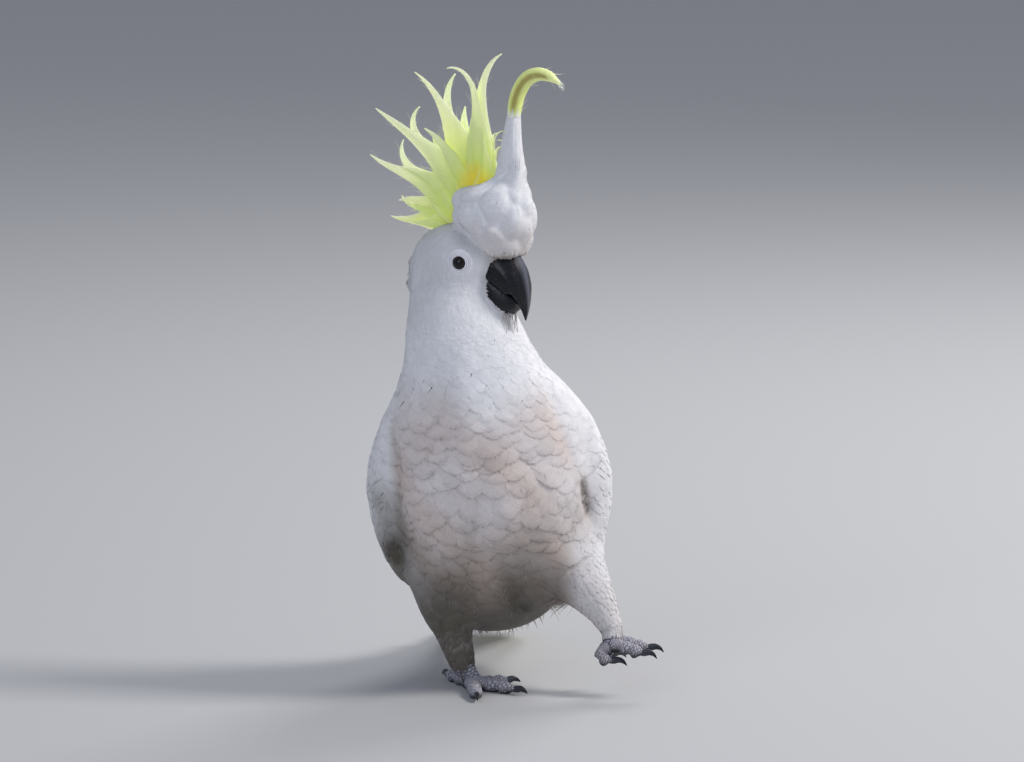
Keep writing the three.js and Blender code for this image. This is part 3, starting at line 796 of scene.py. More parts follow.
def crestFrontSurface():
    # each pillow's distance F = sqrt((across / half width)^2 + (up / half height)^2); the nearest sets the
    # rise, lift * sqrt(1 - 0.8 F^2), less a crease where the two nearest are equally near
    form = crestFrontCoat
    grid, inside = tube(crestFrontForm, form["rows"], form["columns"])
    out = unit(grid - inside[:, None])
    a = turnRound(form["columns"])
    away = np.linalg.norm(grid - inside[:, None], axis=-1)

    def turnFrom(a, degrees):
        return (a - np.radians(degrees) + np.pi) % (2 * np.pi) - np.pi

    angle, height, halfWide, halfHigh, lift = np.array(form["pillows"], float).T
    across = turnFrom(a[None, :, None], angle) * np.maximum(away, 8)[..., None]
    share = np.sqrt((across / halfWide) ** 2 + ((grid[..., 2:] - height) / halfHigh) ** 2)
    order = np.argsort(share, axis=-1)[..., :2]
    first, second = (np.take_along_axis(share, order[..., k : k + 1], -1)[..., 0] for k in (0, 1))
    crease = bell(second - first, form["creaseHalf"]) * (1 - ease(1.0, 1.5, first))
    atLobes = bell(turnFrom(a, form["lobesAt"]), form["lobesHalf"])[None] * ease(18, 28, grid[..., 2])
    rise = lift[order[..., 0]] * np.sqrt(np.clip(1 - 0.8 * first ** 2, 0.04, 1))
    rise = rise - (form["crease"] + form["lobeCrease"] * atLobes) * crease
    rise = soften(rise, 4)
    lines = 0.04 * np.sin(a * 14)[None] * ease(52, 64, grid[..., 2])
    swell = ease(8, 20, grid[..., 2]) * (1 - ease(50, 62, grid[..., 2]))
    grid = grid + out * (rise - 2.2 * swell + lines + 0.5 * swell * ripple(grid, 17, 91))[..., None]
    return surfaceOf(fromHead(grid), fromHead(inside)[:, None]), grid[..., 2]


# one skin, inside the coat: body, crest front and thighs as closed tubes made one by a remesh
skinForm = {
    "height": [180, 205, 235, 270], "under": [1.1, 0.6, 0.45, 0.45], "crestUnder": 0.5, "thighUnder": 1.5,
    "voxel": 1.7, "softPasses": 6, "softFactor": 0.5, "tailRow": 112,
}


def buildSkin():
    under = np.interp(body["points"][..., 2:], skinForm["height"], skinForm["under"])
    points = body["points"] - body["normals"] * under
    keep = body["middle"][:, 1] < skinForm["tailRow"]
    shells = [closedTube(points[keep])]
    for leg in legForms.values():
        shells.append(closedTube(tube(leg["thigh"], 40, 36, -skinForm["thighUnder"])[0]))
    front = crestFrontSurface()[0]
    shells.append(closedTube(front["points"] - front["normals"] * skinForm["crestUnder"]))
    allPoints, allFaces, count = [], [], 0
    for flat, faces in shells:
        allPoints.append(flat)
        allFaces += [f + count for f in faces]
        count += len(flat)
    skin = addMesh("skin", np.concatenate(allPoints), allFaces, underFeather)
    bpy.context.view_layer.objects.active = skin
    skin.modifiers.new("oneSkin", "REMESH").mode = "VOXEL"
    skin.modifiers["oneSkin"].voxel_size = skinForm["voxel"] * mm
    soft = skin.modifiers.new("soft", "SMOOTH")
    soft.iterations, soft.factor = skinForm["softPasses"], skinForm["softFactor"]
    made = bpy.data.meshes.new_from_object(skin.evaluated_get(bpy.context.evaluated_depsgraph_get()))
    skin.modifiers.clear()
    skin.data = made
    made.name = "skin"
    made.polygons.foreach_set("use_smooth", np.ones(len(made.polygons), bool))
    co = np.zeros(len(made.vertices) * 3)
    made.vertices.foreach_get("co", co)
    for key, value in marksAt(co.reshape(-1, 3) / mm).items():
        made.attributes.new(key, "FLOAT", "POINT").data.foreach_set("value", value)
    print("skin remeshed to", len(made.polygons), "faces")
    return skin


skin = buildSkin()


# rows of feather roots over a surface, spaced by arc length, every other row shifted by half
def layRows(surface, stepAlong, stepAcross, wanted, upwards=False, wobble=0.16):
    rows, columns = surface["points"].shape[:2]
    v = evenly(rows)
    along = surface["perV"] / (rows - 1) / stepAlong
    order = slice(None) if upwards else slice(None, None, -1)
    count = np.cumsum(along[order], axis=0)
    levels = np.arange(0.5, count[-1].max(), 1)
    vRow = np.stack([np.interp(levels, count[:, j], v[order], left=np.nan, right=np.nan)
                     for j in range(columns)], 1)
    u = np.arange(columns) / columns
    found = []
    for k, vLine in enumerate(vRow):
        real = ~np.isnan(vLine)
        vHere = np.where(real, vLine, 0.5)
        width = readTable(surface["perU"], u, vHere) / columns
        share = np.where(real, width / readTable(stepAcross, u, vHere), 0)
        total = share.sum()
        if total < 2:
            continue
        reach = np.cumsum(share) - share
        count = int(round(total))
        spots = (np.arange(count) + 0.5 * (k % 2) + rng.uniform(-wobble, wobble, count)) * total / count
        uHere = np.interp(spots % total, np.append(reach, total), np.append(u, 1.0))
        column = (uHere * columns).astype(int) % columns
        good = real[column]
        found.append(np.stack([uHere[good], vHere[column][good]], 1))
    found = np.concatenate(found)
    u, v = found[:, 0], found[:, 1]
    v = v + (rng.uniform(-wobble, wobble, len(found)) * readTable(stepAlong, u, v)
             / readTable(surface["perV"], u, v))
    points = readTable(surface["points"], u, v)
    keep = wanted(points, u, v)
    return u[keep], v[keep], points[keep]


def featherTemplate(across, along, barbs, tipRound=0.26, base=0.5, widest=0.62, close=0.62):
    # grid of reach s (0 root to 1 tip) and side w (-1 to 1), the tip rounded, and a fringe of slivers past it
    s, w = np.meshgrid(evenly(along + 1) ** 0.85, np.linspace(-1, 1, across + 1), indexing="ij")
    profile = np.where(s < widest, base + (1 - base) * np.sin(np.clip(s / widest, 0, 1) * np.pi / 2),
                       np.sqrt(np.clip(1 - ((s - widest) / (1 - widest)) ** 2 * close, 0, 1)))
    side = w * profile
    reach = s * (1 - tipRound * w ** 2 * s)
    quads = gridFaces(along + 1, across + 1)
    reach, side, kind = reach.ravel(), side.ravel(), np.where(s.ravel() > 0.999, 1, 0)
    triangles = []
    if barbs:
        wb = np.linspace(-0.97, 0.97, barbs)
        edge, atTip, wide = 1 - tipRound * wb ** 2, np.sqrt(1 - close), 1.5 / barbs
        tips = np.concatenate([
            np.stack([edge - 0.06, (wb - wide) * atTip], 1),
            np.stack([edge - 0.06, (wb + wide) * atTip], 1),
            np.stack([edge + 0.035, wb * atTip * 1.06], 1),
        ])
        k = np.arange(barbs)
        triangles = reach.size + np.stack([k, k + barbs, k + 2 * barbs], 1)
        reach, side = np.concatenate([reach, tips[:, 0]]), np.concatenate([side, tips[:, 1]])
        kind = np.concatenate([kind, np.repeat([0, 0, 2], barbs)])
    return {"reach": reach, "side": side, "kind": kind, "quads": quads, "triangles": triangles}


def coatPiece(name, surface, u, v, template, shape, upwards=False):
    # point = surface(u, v) + normal * height, where u and v follow reach and side over the surface
    # height = rise from the skin to the coat's outer face, less the hollow of the vane's edges
    # kind is 1 at the tip's edge and 2 at the end of each sliver, which are roughened
    count = len(u)
    reach, side, kind = template["reach"][None], template["side"][None], template["kind"][None]
    shape = {"ragged": 0.03, "tuck": 0.0, "dome": 0.0, "ticksAndRimShade": 0.0} | shape

    def each(key):
        return np.broadcast_to(shape[key], count)[:, None]

    length, half, depth, ragged = each("length"), each("half"), each("depth"), shape["ragged"]
    noise = rng.normal(size=(count, template["reach"].size))
    s = reach + noise * (kind == 1) * ragged * 0.4 + noise * (kind == 2) * ragged * 1.2
    a, b = s * length, side * half
    b = b + noise * (kind == 2) * half * 0.05
    angle = each("turn") + each("bend") * s
    forward = a * np.cos(angle) - b * np.sin(angle)
    sideways = a * np.sin(angle) + b * np.cos(angle)
    perU = np.maximum(readTable(surface["perU"], u, v), 25)[:, None]
    perV = readTable(surface["perV"], u, v)[:, None]
    uu = u[:, None] + sideways / perU
    vv = v[:, None] + forward / perV * (1 if upwards else -1)
    points = readTable(surface["points"], uu, vv)
    normals = readTable(surface["normals"], uu, vv)
    rise = 1 - (1 - np.clip(s, 0, 1)) ** 1.25
    height = -depth * (1 - rise) - each("cup") * side ** 2 * np.clip(s * 1.5, 0, 1)
    height = height + each("lift") * s ** 3 + each("roll") * side * half * 0.1
    height = height + (kind == 2) * noise * 0.05
    height = height - each("tuck") * np.clip(s, 0, 1.1) ** 5
    height = height + each("dome") * (1 - side ** 2) * np.sin(np.clip(s, 0, 1) * np.pi) ** 2
    points = points + normals * height[..., None]
    size = template["reach"].size
    base = np.arange(count)[:, None, None] * size
    faces = [(template["quads"][None] + base).reshape(-1, 4)]
    if len(template["triangles"]):
        faces.append((template["triangles"][None] + base).reshape(-1, 3))
    if upwards:
        faces = [f[:, ::-1] for f in faces]
    if "marks" in shape:
        own = {key: np.broadcast_to(value, count)[:, None] for key, value in shape["marks"].items()}
        marks = {key: np.broadcast_to(value, s.shape) for key, value in own.items()}
    else:
        marks = marksAt(points)
    # brown dirt ticks on some fringe slivers, and a darker tip row, partly a stained edge and partly painted
    # shade along each scallop's rim
    ticksAndRimShade = shape["ticksAndRimShade"] * ((kind == 2) * (ripple(points, 7, 107) > 0.15) * (noise > 0.2) + 0.26 * (kind == 1))
    marks["grimeAndShade"] = np.clip(marks["grimeAndShade"] + ticksAndRimShade * marks["stain"], 0, 1)
    values = {"tone": np.repeat(np.broadcast_to(shape["tone"], count), size), "reach": s} | marks
    vane = np.stack([b + 0 * s, a + 0 * side], -1) * 0.01
    bake = np.stack([(u % 1)[:, None] + side / 2 * patchSize + 0 * s, v[:, None] + (s - 0.5) * patchSize], -1)
    return addMesh(name, points, faces, whiteFeather, {"vane": vane, "OFBake": bake}, values)


# body coat: settings by height on the body, read at each root
bodyCoat = {
    "height": [30, 60, 95, 130, 165, 195, 215, 240, 262, 292],
    "stepAlong": [6.0, 6.8, 7.4, 7.6, 7.0, 5.2, 3.6, 2.3, 2.1, 2.0],
    "stepAcross": [10, 12.5, 14.5, 14.5, 12.5, 7.2, 4.0, 2.2, 1.8, 1.8],
    "length": [22, 25, 29, 30, 28, 24, 16, 10, 8.5, 7.5],
    "half": [9.5, 11.6, 13.0, 12.8, 11.8, 8.8, 4.8, 2.4, 1.8, 1.8],
    "depth": [2.2, 2.4, 2.7, 2.7, 2.2, 1.1, 0.65, 0.5, 0.42, 0.42],
    "tuck": [0.24, 0.22, 0.16, 0.12, 0.14, 0.18, 0.16, 0.12, 0.10, 0.10],
    # feathers standing off the nape: place, half width, amount
    "nape": [((-38, 4, 263), 6.5, 1.0), ((-39, 6, 228), 5, 0.7)],
    # name, from and to height, and one feather's grid, fringe and tip
    "pieces": [
        ("coat_head", 236, 400, {"across": 2, "along": 3, "barbs": 3}),
        ("coat_neck", 196, 236, {"across": 4, "along": 5, "barbs": 12}),
        ("coat_breast", 0, 196, {"across": 10, "along": 7, "barbs": 54, "tipRound": 0.2, "close": 0.5}),
        ("coat_back", 0, 196, {"across": 8, "along": 7, "barbs": 30, "tipRound": 0.24}),
    ],
}


def byHeight(key, z):
    # the body coat's setting at height z
    return np.interp(z, bodyCoat["height"], bodyCoat[key])


def wingCover(points):
    # 1 where the folded wing's own feathers lie
    return ease(-3, 3, insideOutline(points[..., 1:], bodyForm["wingOutline"]))


def wingReach(points):
    # distance along the wing in the side view, from the shoulder towards the tip
    return (points[..., 1] - wingStart[0]) * wingSlope[0] - (points[..., 2] - wingStart[1]) * wingSlope[1]


def eyeDistance(points):
    # distance from the nearer eye
    local = toHead(points)
    return np.linalg.norm(local * np.where(local[..., :1] < 0, (-1, 1, 1), 1) - (25, -10.8, eyeUp), axis=-1)


def buildBodyCoat():
    # settings by height: shorter round the eyes, flat on the smooth shoulders, looser on the breast
    z = body["points"][..., 2]
    stepAlong, stepAcross = byHeight("stepAlong", z), byHeight("stepAcross", z)

    def wanted(points, u, v):
        rump = (points[:, 1] > 74) & (np.abs(points[:, 0] - 12) < 24) & ((u % 1) > 0.06) & ((u % 1) < 0.44)
        covered = (wingCover(points) < 0.5) | rump
        return (points[:, 1] < 126) & (points[:, 2] > 20) & covered & (eyeDistance(points) > 6.0)

    u, v, points = layRows(body, stepAlong, stepAcross, wanted)
    z = points[:, 2]
    clump = ripple(points, 26, 51) + 0.5 * ripple(points, 60, 53)
    breast = ease(-10, -30, points[:, 1]) * ease(70, 100, z) * (1 - ease(178, 196, z))
    nape = sum(amount * bell(distanceTo(points, [place]), half) for place, half, amount in bodyCoat["nape"])
    for name, low, high, feather in bodyCoat["pieces"]:
        pick = (z >= low) & (z < high)
        if low == 0:
            pick &= (points[:, 1] < 4) == (name == "coat_breast")
        count = pick.sum()
        at = z[pick]
        depth = byHeight("depth", at)
        raised = np.clip(clump[pick], 0, 1) * (0.25 + 0.75 * breast[pick])
        near = 1 - ease(6, 14, eyeDistance(points[pick]))
        calm = calmSide(points[pick])
        behind = ease(66, 90, points[pick][:, 1])
        raised = raised * (1 - calm) * (1 - behind)
        size = (1 - 0.18 * calm) * (1 - 0.25 * behind)
        coatPiece(name, body, u[pick], v[pick], featherTemplate(**feather), {
            "length": byHeight("length", at) * rng.normal(1, 0.07, count) * (1 - 0.45 * near)
                * (1 - 0.1 * calm),
            "half": byHeight("half", at) * rng.normal(1, 0.08, count) * (1 - 0.4 * near) * size,
            "turn": rng.normal(0, 0.07, count) + 0.12 * ripple(points[pick], 34, 61),
            "bend": rng.normal(0, 0.08, count),
            "depth": depth * (1 - 0.5 * calm),
            "lift": depth * (0.02 + 0.12 * breast[pick] * (1 - calm) + 0.24 * raised
                             + rng.normal(0, 0.02, count))
            + 1.5 * nape[pick] * rng.uniform(0.3, 1, count),
            "dome": (0.35 + 0.55 * raised) * ease(190, 160, at) * (1 - calm) * (name == "coat_breast"),
            "cup": depth * 0.28,
            "roll": rng.normal(0, 0.10, count),
            "tone": rng.uniform(0, 1, count),
            "tuck": byHeight("tuck", at) * (1.25 - raised + 0.5 * calm) * (1 - 0.8 * nape[pick]),
            "ragged": 0.022,
            "ticksAndRimShade": ((1 - calm) * ease(78, 118, at))[:, None] * (0.8 if name == "coat_breast" else 0.0),
        })


buildBodyCoat()

# legs: small feathers down each thigh, and ragged ends reaching down over the scaled shank
thighCoat = {
    "length": [12.5, 1.0], "half": 3.8, "turn": [0, 0.10], "bend": [0, 0.1], "depth": 1.1,
    "lift": [0.04, 0.05], "cup": 0.3, "roll": [0, 0.12], "tone": (0, 1), "tuck": 0.16,
}
cuffCoat = {
    "length": (5.5, 9.5), "half": (1.0, 2.1), "turn": [0, 0.16], "bend": [0, 0.2], "depth": 0.7,
    "lift": (-0.1, 0.5), "cup": 0.2, "roll": [0, 0.2], "tone": (0, 1), "tuck": 0.1, "ragged": 0.06,
}


# each thigh's feathers get shorter and narrower downwards: size * (1 - share * v)
def buildLegCoats(thighStep=3.4, cuffCount=330):
    for sideName, leg in legForms.items():
        grid, inside = tube(leg["thigh"], 60, 72)
        surface = surfaceOf(grid, inside[:, None])
        steps = np.full(grid.shape[:2], thighStep)
        u, v = layRows(surface, steps, steps * 1.15, lambda points, u, v: v < 0.85, upwards=True)[:2]
        shape = drawn(len(u), thighCoat)
        shape["length"], shape["half"] = shape["length"] * (1 - 0.35 * v), shape["half"] * (1 - 0.3 * v)
        coatPiece(f"coat_thigh_{sideName}", surface, u, v, featherTemplate(4, 5, 6), shape, upwards=True)
        grid, inside = tube(leg["cuff"], 40, 48)
        u, v = rng.uniform(0, 1, cuffCount), rng.uniform(0.05, 0.52, cuffCount)
        coatPiece(f"coat_cuff_{sideName}", surfaceOf(grid, inside[:, None]), u, v, featherTemplate(2, 4, 4),
                  drawn(cuffCount, cuffCoat), upwards=True)


buildLegCoats()

# wings: coverts in graded rows, then the long flight feathers laid over each other to the wing's tip
wingForm = {
    "covertReach": [-10, 30, 60, 84, 120],
    "stepAlong": [5.2, 6.0, 7.0, 8.0, 8.0], "stepAcross": [7.0, 7.6, 8.0, 7.6, 7.6],
    "length": [16, 19, 23, 25, 25], "half": [6.4, 7.0, 7.2, 6.6, 6.6], "covertEnd": 76,
    # long feathers of the left wing, from the lower edge up to the back: where each starts and ends
    "root": [(78, 8, 84), (82, 20, 103), (73, 33, 114), (60, 42, 120), (46, 48, 126), (31, 51, 129),
             (15, 53, 131)],
    "tip": [(35, 100, 42), (29, 125, 43), (25, 122, 47), (22, 110, 54), (19, 99, 61), (17, 89, 69),
            (13, 79, 80)],
    "flightHalf": [6.0, 7.0, 8.0, 8.6, 9.4], "count": 24, "rows": 60, "middle": 12,
    "thick": 0.26, "hollow": 150, "wash": 0.3, "rim": 0.14, "stain": 0.05, "blotch": 0.06, "seed": 81,
    "tipFrom": 0.9, "tipGrime": 0.12,
}
covertCoat = {
    "length": [1, 0.05], "half": [1, 0.05], "turn": [0, 0.05], "bend": [0, 0.05], "depth": 1.3,
    "lift": [0.02, 0.03], "cup": 0.35, "roll": [0, 0.05], "tone": (0, 1), "ragged": 0.012,
}


def longFeathers(name, form, line, across, half, t, length, columns=22):
    # thin blades hollow beneath by half^2 / hollow, with a yellow wash below and worn rims and tips
    thick = np.full(half.shape, form["thick"])
    points, w = bladePoints(line, across, half, thick, -half ** 2 / form["hollow"], columns)
    rim = np.clip((np.abs(w) - 0.84) / 0.16, 0, 1) * form["rim"]
    shellPiece(name, points, w * half[..., None], (t * length)[..., None], flightFeather, {
        "reach": 0.75 + 0.25 * t[:, None],
        "tone": rng.uniform(0, 1, (len(line), 1, 1)),
        "wash": (np.arange(columns) >= columns / 2 + 1) * form["wash"],
        "stain": form["stain"] + form["blotch"] * ripple(points, 30, form["seed"]),
        "grimeAndShade": rim + form["tipGrime"] * ease(form["tipFrom"], 1.0, t)[:, None],
    })


def overBody(points, height):
    # nearest place on the body, then out along its normal to the wanted height
    places, normals = (body[key][::3, ::3].reshape(-1, 3) for key in ("points", "normals"))
    flat = points.reshape(-1, 3)
    nearest = np.argmin((places ** 2).sum(1)[None] - 2 * flat @ places.T, axis=1)
    normal = normals[nearest].reshape(points.shape)
    rise = np.sum((points - places[nearest].reshape(points.shape)) * normal, -1, keepdims=True)
    return points + normal * (height - rise), normal


def buildWings():
    # line = straight from root to tip, drawn in part to the body's surface plus its place in the stack
    form = wingForm
    reach = wingReach(body["points"])
    stepAlong, stepAcross = (np.interp(reach, form["covertReach"], form[key])
                             for key in ("stepAlong", "stepAcross"))

    def onWing(points, u, v):
        return ((wingCover(points) >= 0.5)
                & (wingReach(points) < form["covertEnd"] + 5 * np.sin(points[:, 2] * 0.2)))

    u, v, points = layRows(body, stepAlong, stepAcross, onWing)
    at = wingReach(points)
    shape = drawn(len(u), covertCoat)
    for key in ("length", "half"):
        shape[key] = shape[key] * np.interp(at, form["covertReach"], form[key])
    shape["tuck"] = 0.24 - 0.14 * ease(30, 70, at)
    coatPiece("wing_coverts", body, u, v, featherTemplate(8, 8, 30, tipRound=0.34, widest=0.66), shape)
    number, rows = form["count"], form["rows"]
    k, t, span = evenly(number), evenly(rows), evenly(8)
    root = through(form["root"], k)
    tipEnd = through(form["tip"], k) + rng.normal(0, 0.8, (number, 3)) * (0.3, 1, 0.6)
    straight = root[:, None] + (tipEnd - root)[:, None] * span[None, :, None]
    half = np.interp(k, evenly(5), form["flightHalf"])[:, None]
    half = half * through([0.45, 0.8, 1, 1, 1, 0.98, 0.86, 0.12], t)

    def finer(field):
        # the blades' 8 worked places, read again at every row
        return (through(field.transpose(1, 0, 2).reshape(len(span), -1), t)
                .reshape(rows, number, 3).transpose(1, 0, 2))

    for sideName, side in (("left", 1), ("right", -1)):
        here = (form["middle"] * np.array([1, 0, 0])
                + (straight - form["middle"] * np.array([1, 0, 0])) * (side, 1, 1))
        stack = (0.10 * np.arange(number)[:, None] + 0.5 * (side < 0)) * ease(0.3, 0.6, span)[None]
        height = -1.5 + 1.9 * ease(0.15, 0.6, span)[None] + stack
        near, normal = overBody(here, height[..., None])
        near, normal = overBody(near, height[..., None])
        hold = np.interp(span, [0, 0.4, 0.7, 1], [1, 1, 0.6, 0.9])[None, :, None]
        line, normal = finer(here + (near - here) * hold), unit(finer(normal))
        length = np.linalg.norm(np.diff(line, axis=1), axis=-1).sum(1)[:, None]
        along = unit(np.gradient(line, axis=1))
        across = unit(np.cross(normal, along) - 0.085 * side * normal)
        longFeathers(f"wing_feathers_{sideName}", form, line, across, half, t, length)


buildWings()

# tail: twelve thin feathers, the middle pair on top, a yellow wash beneath
tailForm = {
    "path": [(12, 66, 58), (12, 92, 51.5), (12, 112, 46.5), (12, 145, 35.5), (12, 180, 24.5),
             (12, 213, 15.8)],
    "count": 12, "rootSpan": 1.8, "tipSpan": 4.0, "half": 7.8, "rows": 60, "stack": 0.46, "length": 148,
    "thick": 0.26, "hollow": 160, "wash": 0.55, "rim": 0.16, "stain": 0.08, "blotch": 0.08, "seed": 83,
    "tipFrom": 0.86, "tipGrime": 0.22,
}


def buildTail():
    # line = path + order * spread sideways, less stack * |order|, so that the middle pair lies on top
    form = tailForm
    number = form["count"]
    order = (np.arange(number) - (number - 1) / 2)[:, None]
    t = evenly(form["rows"])
    share = 1 - 0.075 * (np.abs(order) / 5.5) ** 1.5 - 0.012 * rng.uniform(0, 1, (number, 1))
    line = through(form["path"], t * share)
    spread = order * (form["rootSpan"] + (form["tipSpan"] - form["rootSpan"]) * t)
    line = line + np.stack([spread, 0 * spread, -form["stack"] * np.abs(order) - 0.008 * spread ** 2], -1)
    up = unit(np.stack(np.broadcast_arrays(0.07 * order, 0.3, 1 + 0 * spread), -1))
    half = form["half"] * through([0.5, 0.8, 0.95, 1, 1, 0.97, 0.85, 0.12], t) + 0 * order
    longFeathers("tail_feathers", form, line, np.cross(up, unit(np.gradient(line, axis=1))), half, t,
                 form["length"])


buildTail()

# loose fine feathers: over belly and thigh, under the tail, behind the lifted thigh, and below the bill
wispForm = {"belly": 9000, "vent": 300, "tuft": 420, "bill": 11, "stain": 0.7}


def takeBody(count, vRange, uRange=(0, 1)):
    # random places on the body, with their normals
    u, v = rng.uniform(*uRange, count), rng.uniform(*vRange, count)
    return u, v, readTable(body["points"], u, v), readTable(body["normals"], u, v)


def buildWisps():
    # start, direction, droop, length, width and bend of each strand, drawn at random about their means
    form = wispForm
    u, v, points, normals = takeBody(form["belly"], (0.2, 0.9))
    z, y = points[:, 2], points[:, 1]
    chance = ease(0, -26, y) * (1 - ease(100, 168, z)) * (0.35 + 0.65 * ease(-0.1, 0.6, ripple(points, 24, 101)))
    pick = rng.uniform(0, 1, len(u)) < chance * 0.8
    u, v, points, normals = u[pick], v[pick], points[pick], normals[pick]
    count = len(u)
    down = unit(readTable(body["points"], u, v - 0.01) - points)
    side = np.cross(normals, down)
    direction = down + side * rng.normal(0, 0.42, (count, 1)) + normals * rng.uniform(-0.02, 0.10, (count, 1))
    length = rng.uniform(4, 9, count)
    marks = marksAt(points)
    droop = side * rng.choice([-1, 1], (count, 1)) - normals * 0.5
    hairPiece("coat_wisps", points + normals * 0.1, direction, droop, length, rng.uniform(0.09, 0.17, count),
              length * 0.16, whiteFeather, np.stack([u, v], 1), {
                  "stain": marks["stain"],
                  "grimeAndShade": marks["grimeAndShade"] * rng.uniform(0.1, 1.1, count),
                  "tone": rng.uniform(0.4, 1, count),
              })
    # under the tail: long soft strands, stained brown
    u, v, points, normals = takeBody(form["vent"] * 8, (0.2, 0.6), (0.58, 0.92))
    pick = ((points[:, 1] > 26) & (points[:, 1] < 92)
            & (normals[:, 2] < -0.25) & (np.abs(points[:, 0] - 22) < 34))
    u, v, points, normals = (f[pick][: form["vent"]] for f in (u, v, points, normals))
    count = len(u)
    direction = np.array([0.10, 0.92, -0.34]) + rng.normal(0, 0.12, (count, 3))
    length = rng.uniform(8, 15, count) * (1 + 0.5 * ease(24, 44, points[:, 0]))
    hairPiece("vent_strands", points - normals * 0.6, direction, np.tile([0, 0.2, -1.0], (count, 1)), length,
              rng.uniform(0.25, 0.6, count), length * 0.12, whiteFeather, np.stack([u, v], 1), {
                  "stain": form["stain"],
                  "grimeAndShade": rng.uniform(0.05, 0.45, count) * (0.6 + 0.8 * ease(30, 46, points[:, 0])),
                  "tone": rng.uniform(0, 1, count),
              })
    # a soft tuft of warm strands behind the lifted thigh
    count = form["tuft"]
    start = np.array([62, 12, 60]) + rng.normal(0, 1, (count, 3)) * (4, 5, 2)
    direction = np.array([-0.75, 0.2, -0.5]) + rng.normal(0, 0.12, (count, 3))
    length = rng.uniform(9, 17, count)
    hairPiece("vent_tuft", start, direction, np.tile([0.2, 0.3, -1.0], (count, 1)), length,
              rng.uniform(0.2, 0.45, count), length * rng.uniform(0, 0.2, count), whiteFeather,
              np.stack([rng.uniform(0.9, 0.98, count), rng.uniform(0.4, 0.5, count)], 1),
              {"stain": form["stain"], "grimeAndShade": rng.uniform(0, 0.3, count), "tone": 1.0})
    # a few damp strands hanging under the bill
    count = form["bill"]
    start = np.stack([rng.uniform(-8, 4, count), -rng.uniform(27, 35, count), rng.uniform(-29, -26, count)],
                     1)
    length = rng.uniform(8, 15, count)
    direction = np.array([0.10, -0.15, -1.0]) + rng.normal(0, 0.07, (count, 3))
    hairPiece("bill_strands", fromHead(start), direction, np.tile([0.6, -0.2, -0.2], (count, 1)), length,
              rng.uniform(0.35, 0.7, count), length * rng.uniform(-0.2, 0.2, count), whiteFeather,
              np.stack([rng.uniform(0.5, 0.6, count), rng.uniform(0.8, 0.9, count)], 1),
              {"stain": 0.6, "grimeAndShade": rng.uniform(0, 0.4, count), "tone": 1.0}, steps=8)


buildWisps()

# crest: curled yellow blades fanned in the head's own middle plane
# forward, height, length, lean, turn, curl, splay, half width
crestBlades = [
    (12, 37, 100, -10, 27, 47, 3, 8), (7, 45, 86, 5, -7, -104, 8, 7.5), (16, 26, 100, -35, 9, 64, -8, 9),
    (0, 47, 79, -8, -31, -19, 6, 9), (2, 26, 90, -23, -61, 137, -9, 8), (10, 23, 102, -27, -42, 13, 5, 9),
    (-1, 34, 72, -65, -4, 94, -8, 7), (1, 31, 77, -55, -27, 26, 5, 8), (-7, 32, 48, -92, 7, 44, -6, 5.5),
    (-12, 27, 44, -97, 6, 22, 4, 6.5),
    # shorter blades between them
    (12, 36, 60, 2, -8, -20, 5, 8), (9, 34, 64, -20, 6, 22, -5, 9), (12, 30, 66, -32, -4, -25, 6, 9),
    (8, 30, 62, -44, 6, 20, -5, 9.5), (4, 30, 58, -56, -6, -20, 5, 9), (2, 30, 54, -68, 6, 20, -5, 8.5),
    (0, 30, 50, -78, -4, -20, 4, 8), (-3, 29, 44, -88, 5, 22, -4, 7), (-6, 27, 36, -100, 5, 20, 4, 6),
    (15, 36, 44, -4, 4, 30, -4, 7),
]
# thin curls in front of the fan
crestCurls = [
    (20, 38, 44, -2, 8, 150, 3, 1.1), (19, 42, 40, 8, 14, -130, -5, 0.9), (21, 36, 34, 14, -12, 170, -9, 1.0),
    (18, 44, 48, 2, 10, 120, 6, 0.8), (17, 36, 50, -14, 10, 90, -7, 1.1), (2, 50, 40, -30, 12, 90, -7, 0.9),
    (22, 34, 26, 16, -6, -190, 5, 0.9),
]
crestLook = {
    "golden": (1.0, 0.86, 0.08),
    "lime": (0.84, 0.98, 0.23),
    "pale": (0.91, 1.0, 0.50),
    # edge: pale rims on the blades, a painted highlight along their rolled edges; the loose barbs and hairs take
    # it too
    "edge": (0.94, 0.98, 0.42),
    # mustard: painted shade for the crest tip's groove and inner side
    "grooveShadeColour": (0.36, 0.28, 0.06),
    # paintedGlow: the crest's colour is also emitted, a painted glow in place of light coming through the blades
    "roughness": 0.62, "gloss": 0.3, "softness": 0.5, "softDepth": 0.006, "paintedGlow": 0.09,
    "barbs": (0.95, 1.03), "tones": (0.90, 1.04), "bump": (0.2, 0.0003),
}
# share of the half width from a blade's root to its tip; rows and columns of one blade
crestForms = {
    "crest_plumes": (crestBlades, 64, 22, [0.8, 1.25, 1.22, 0.98, 0.62, 0.38, 0.24, 0.05]),
    "crest_curls": (crestCurls, 40, 8, [0.7, 1, 1, 1, 0.9, 0.8, 0.5, 0.1]),
}


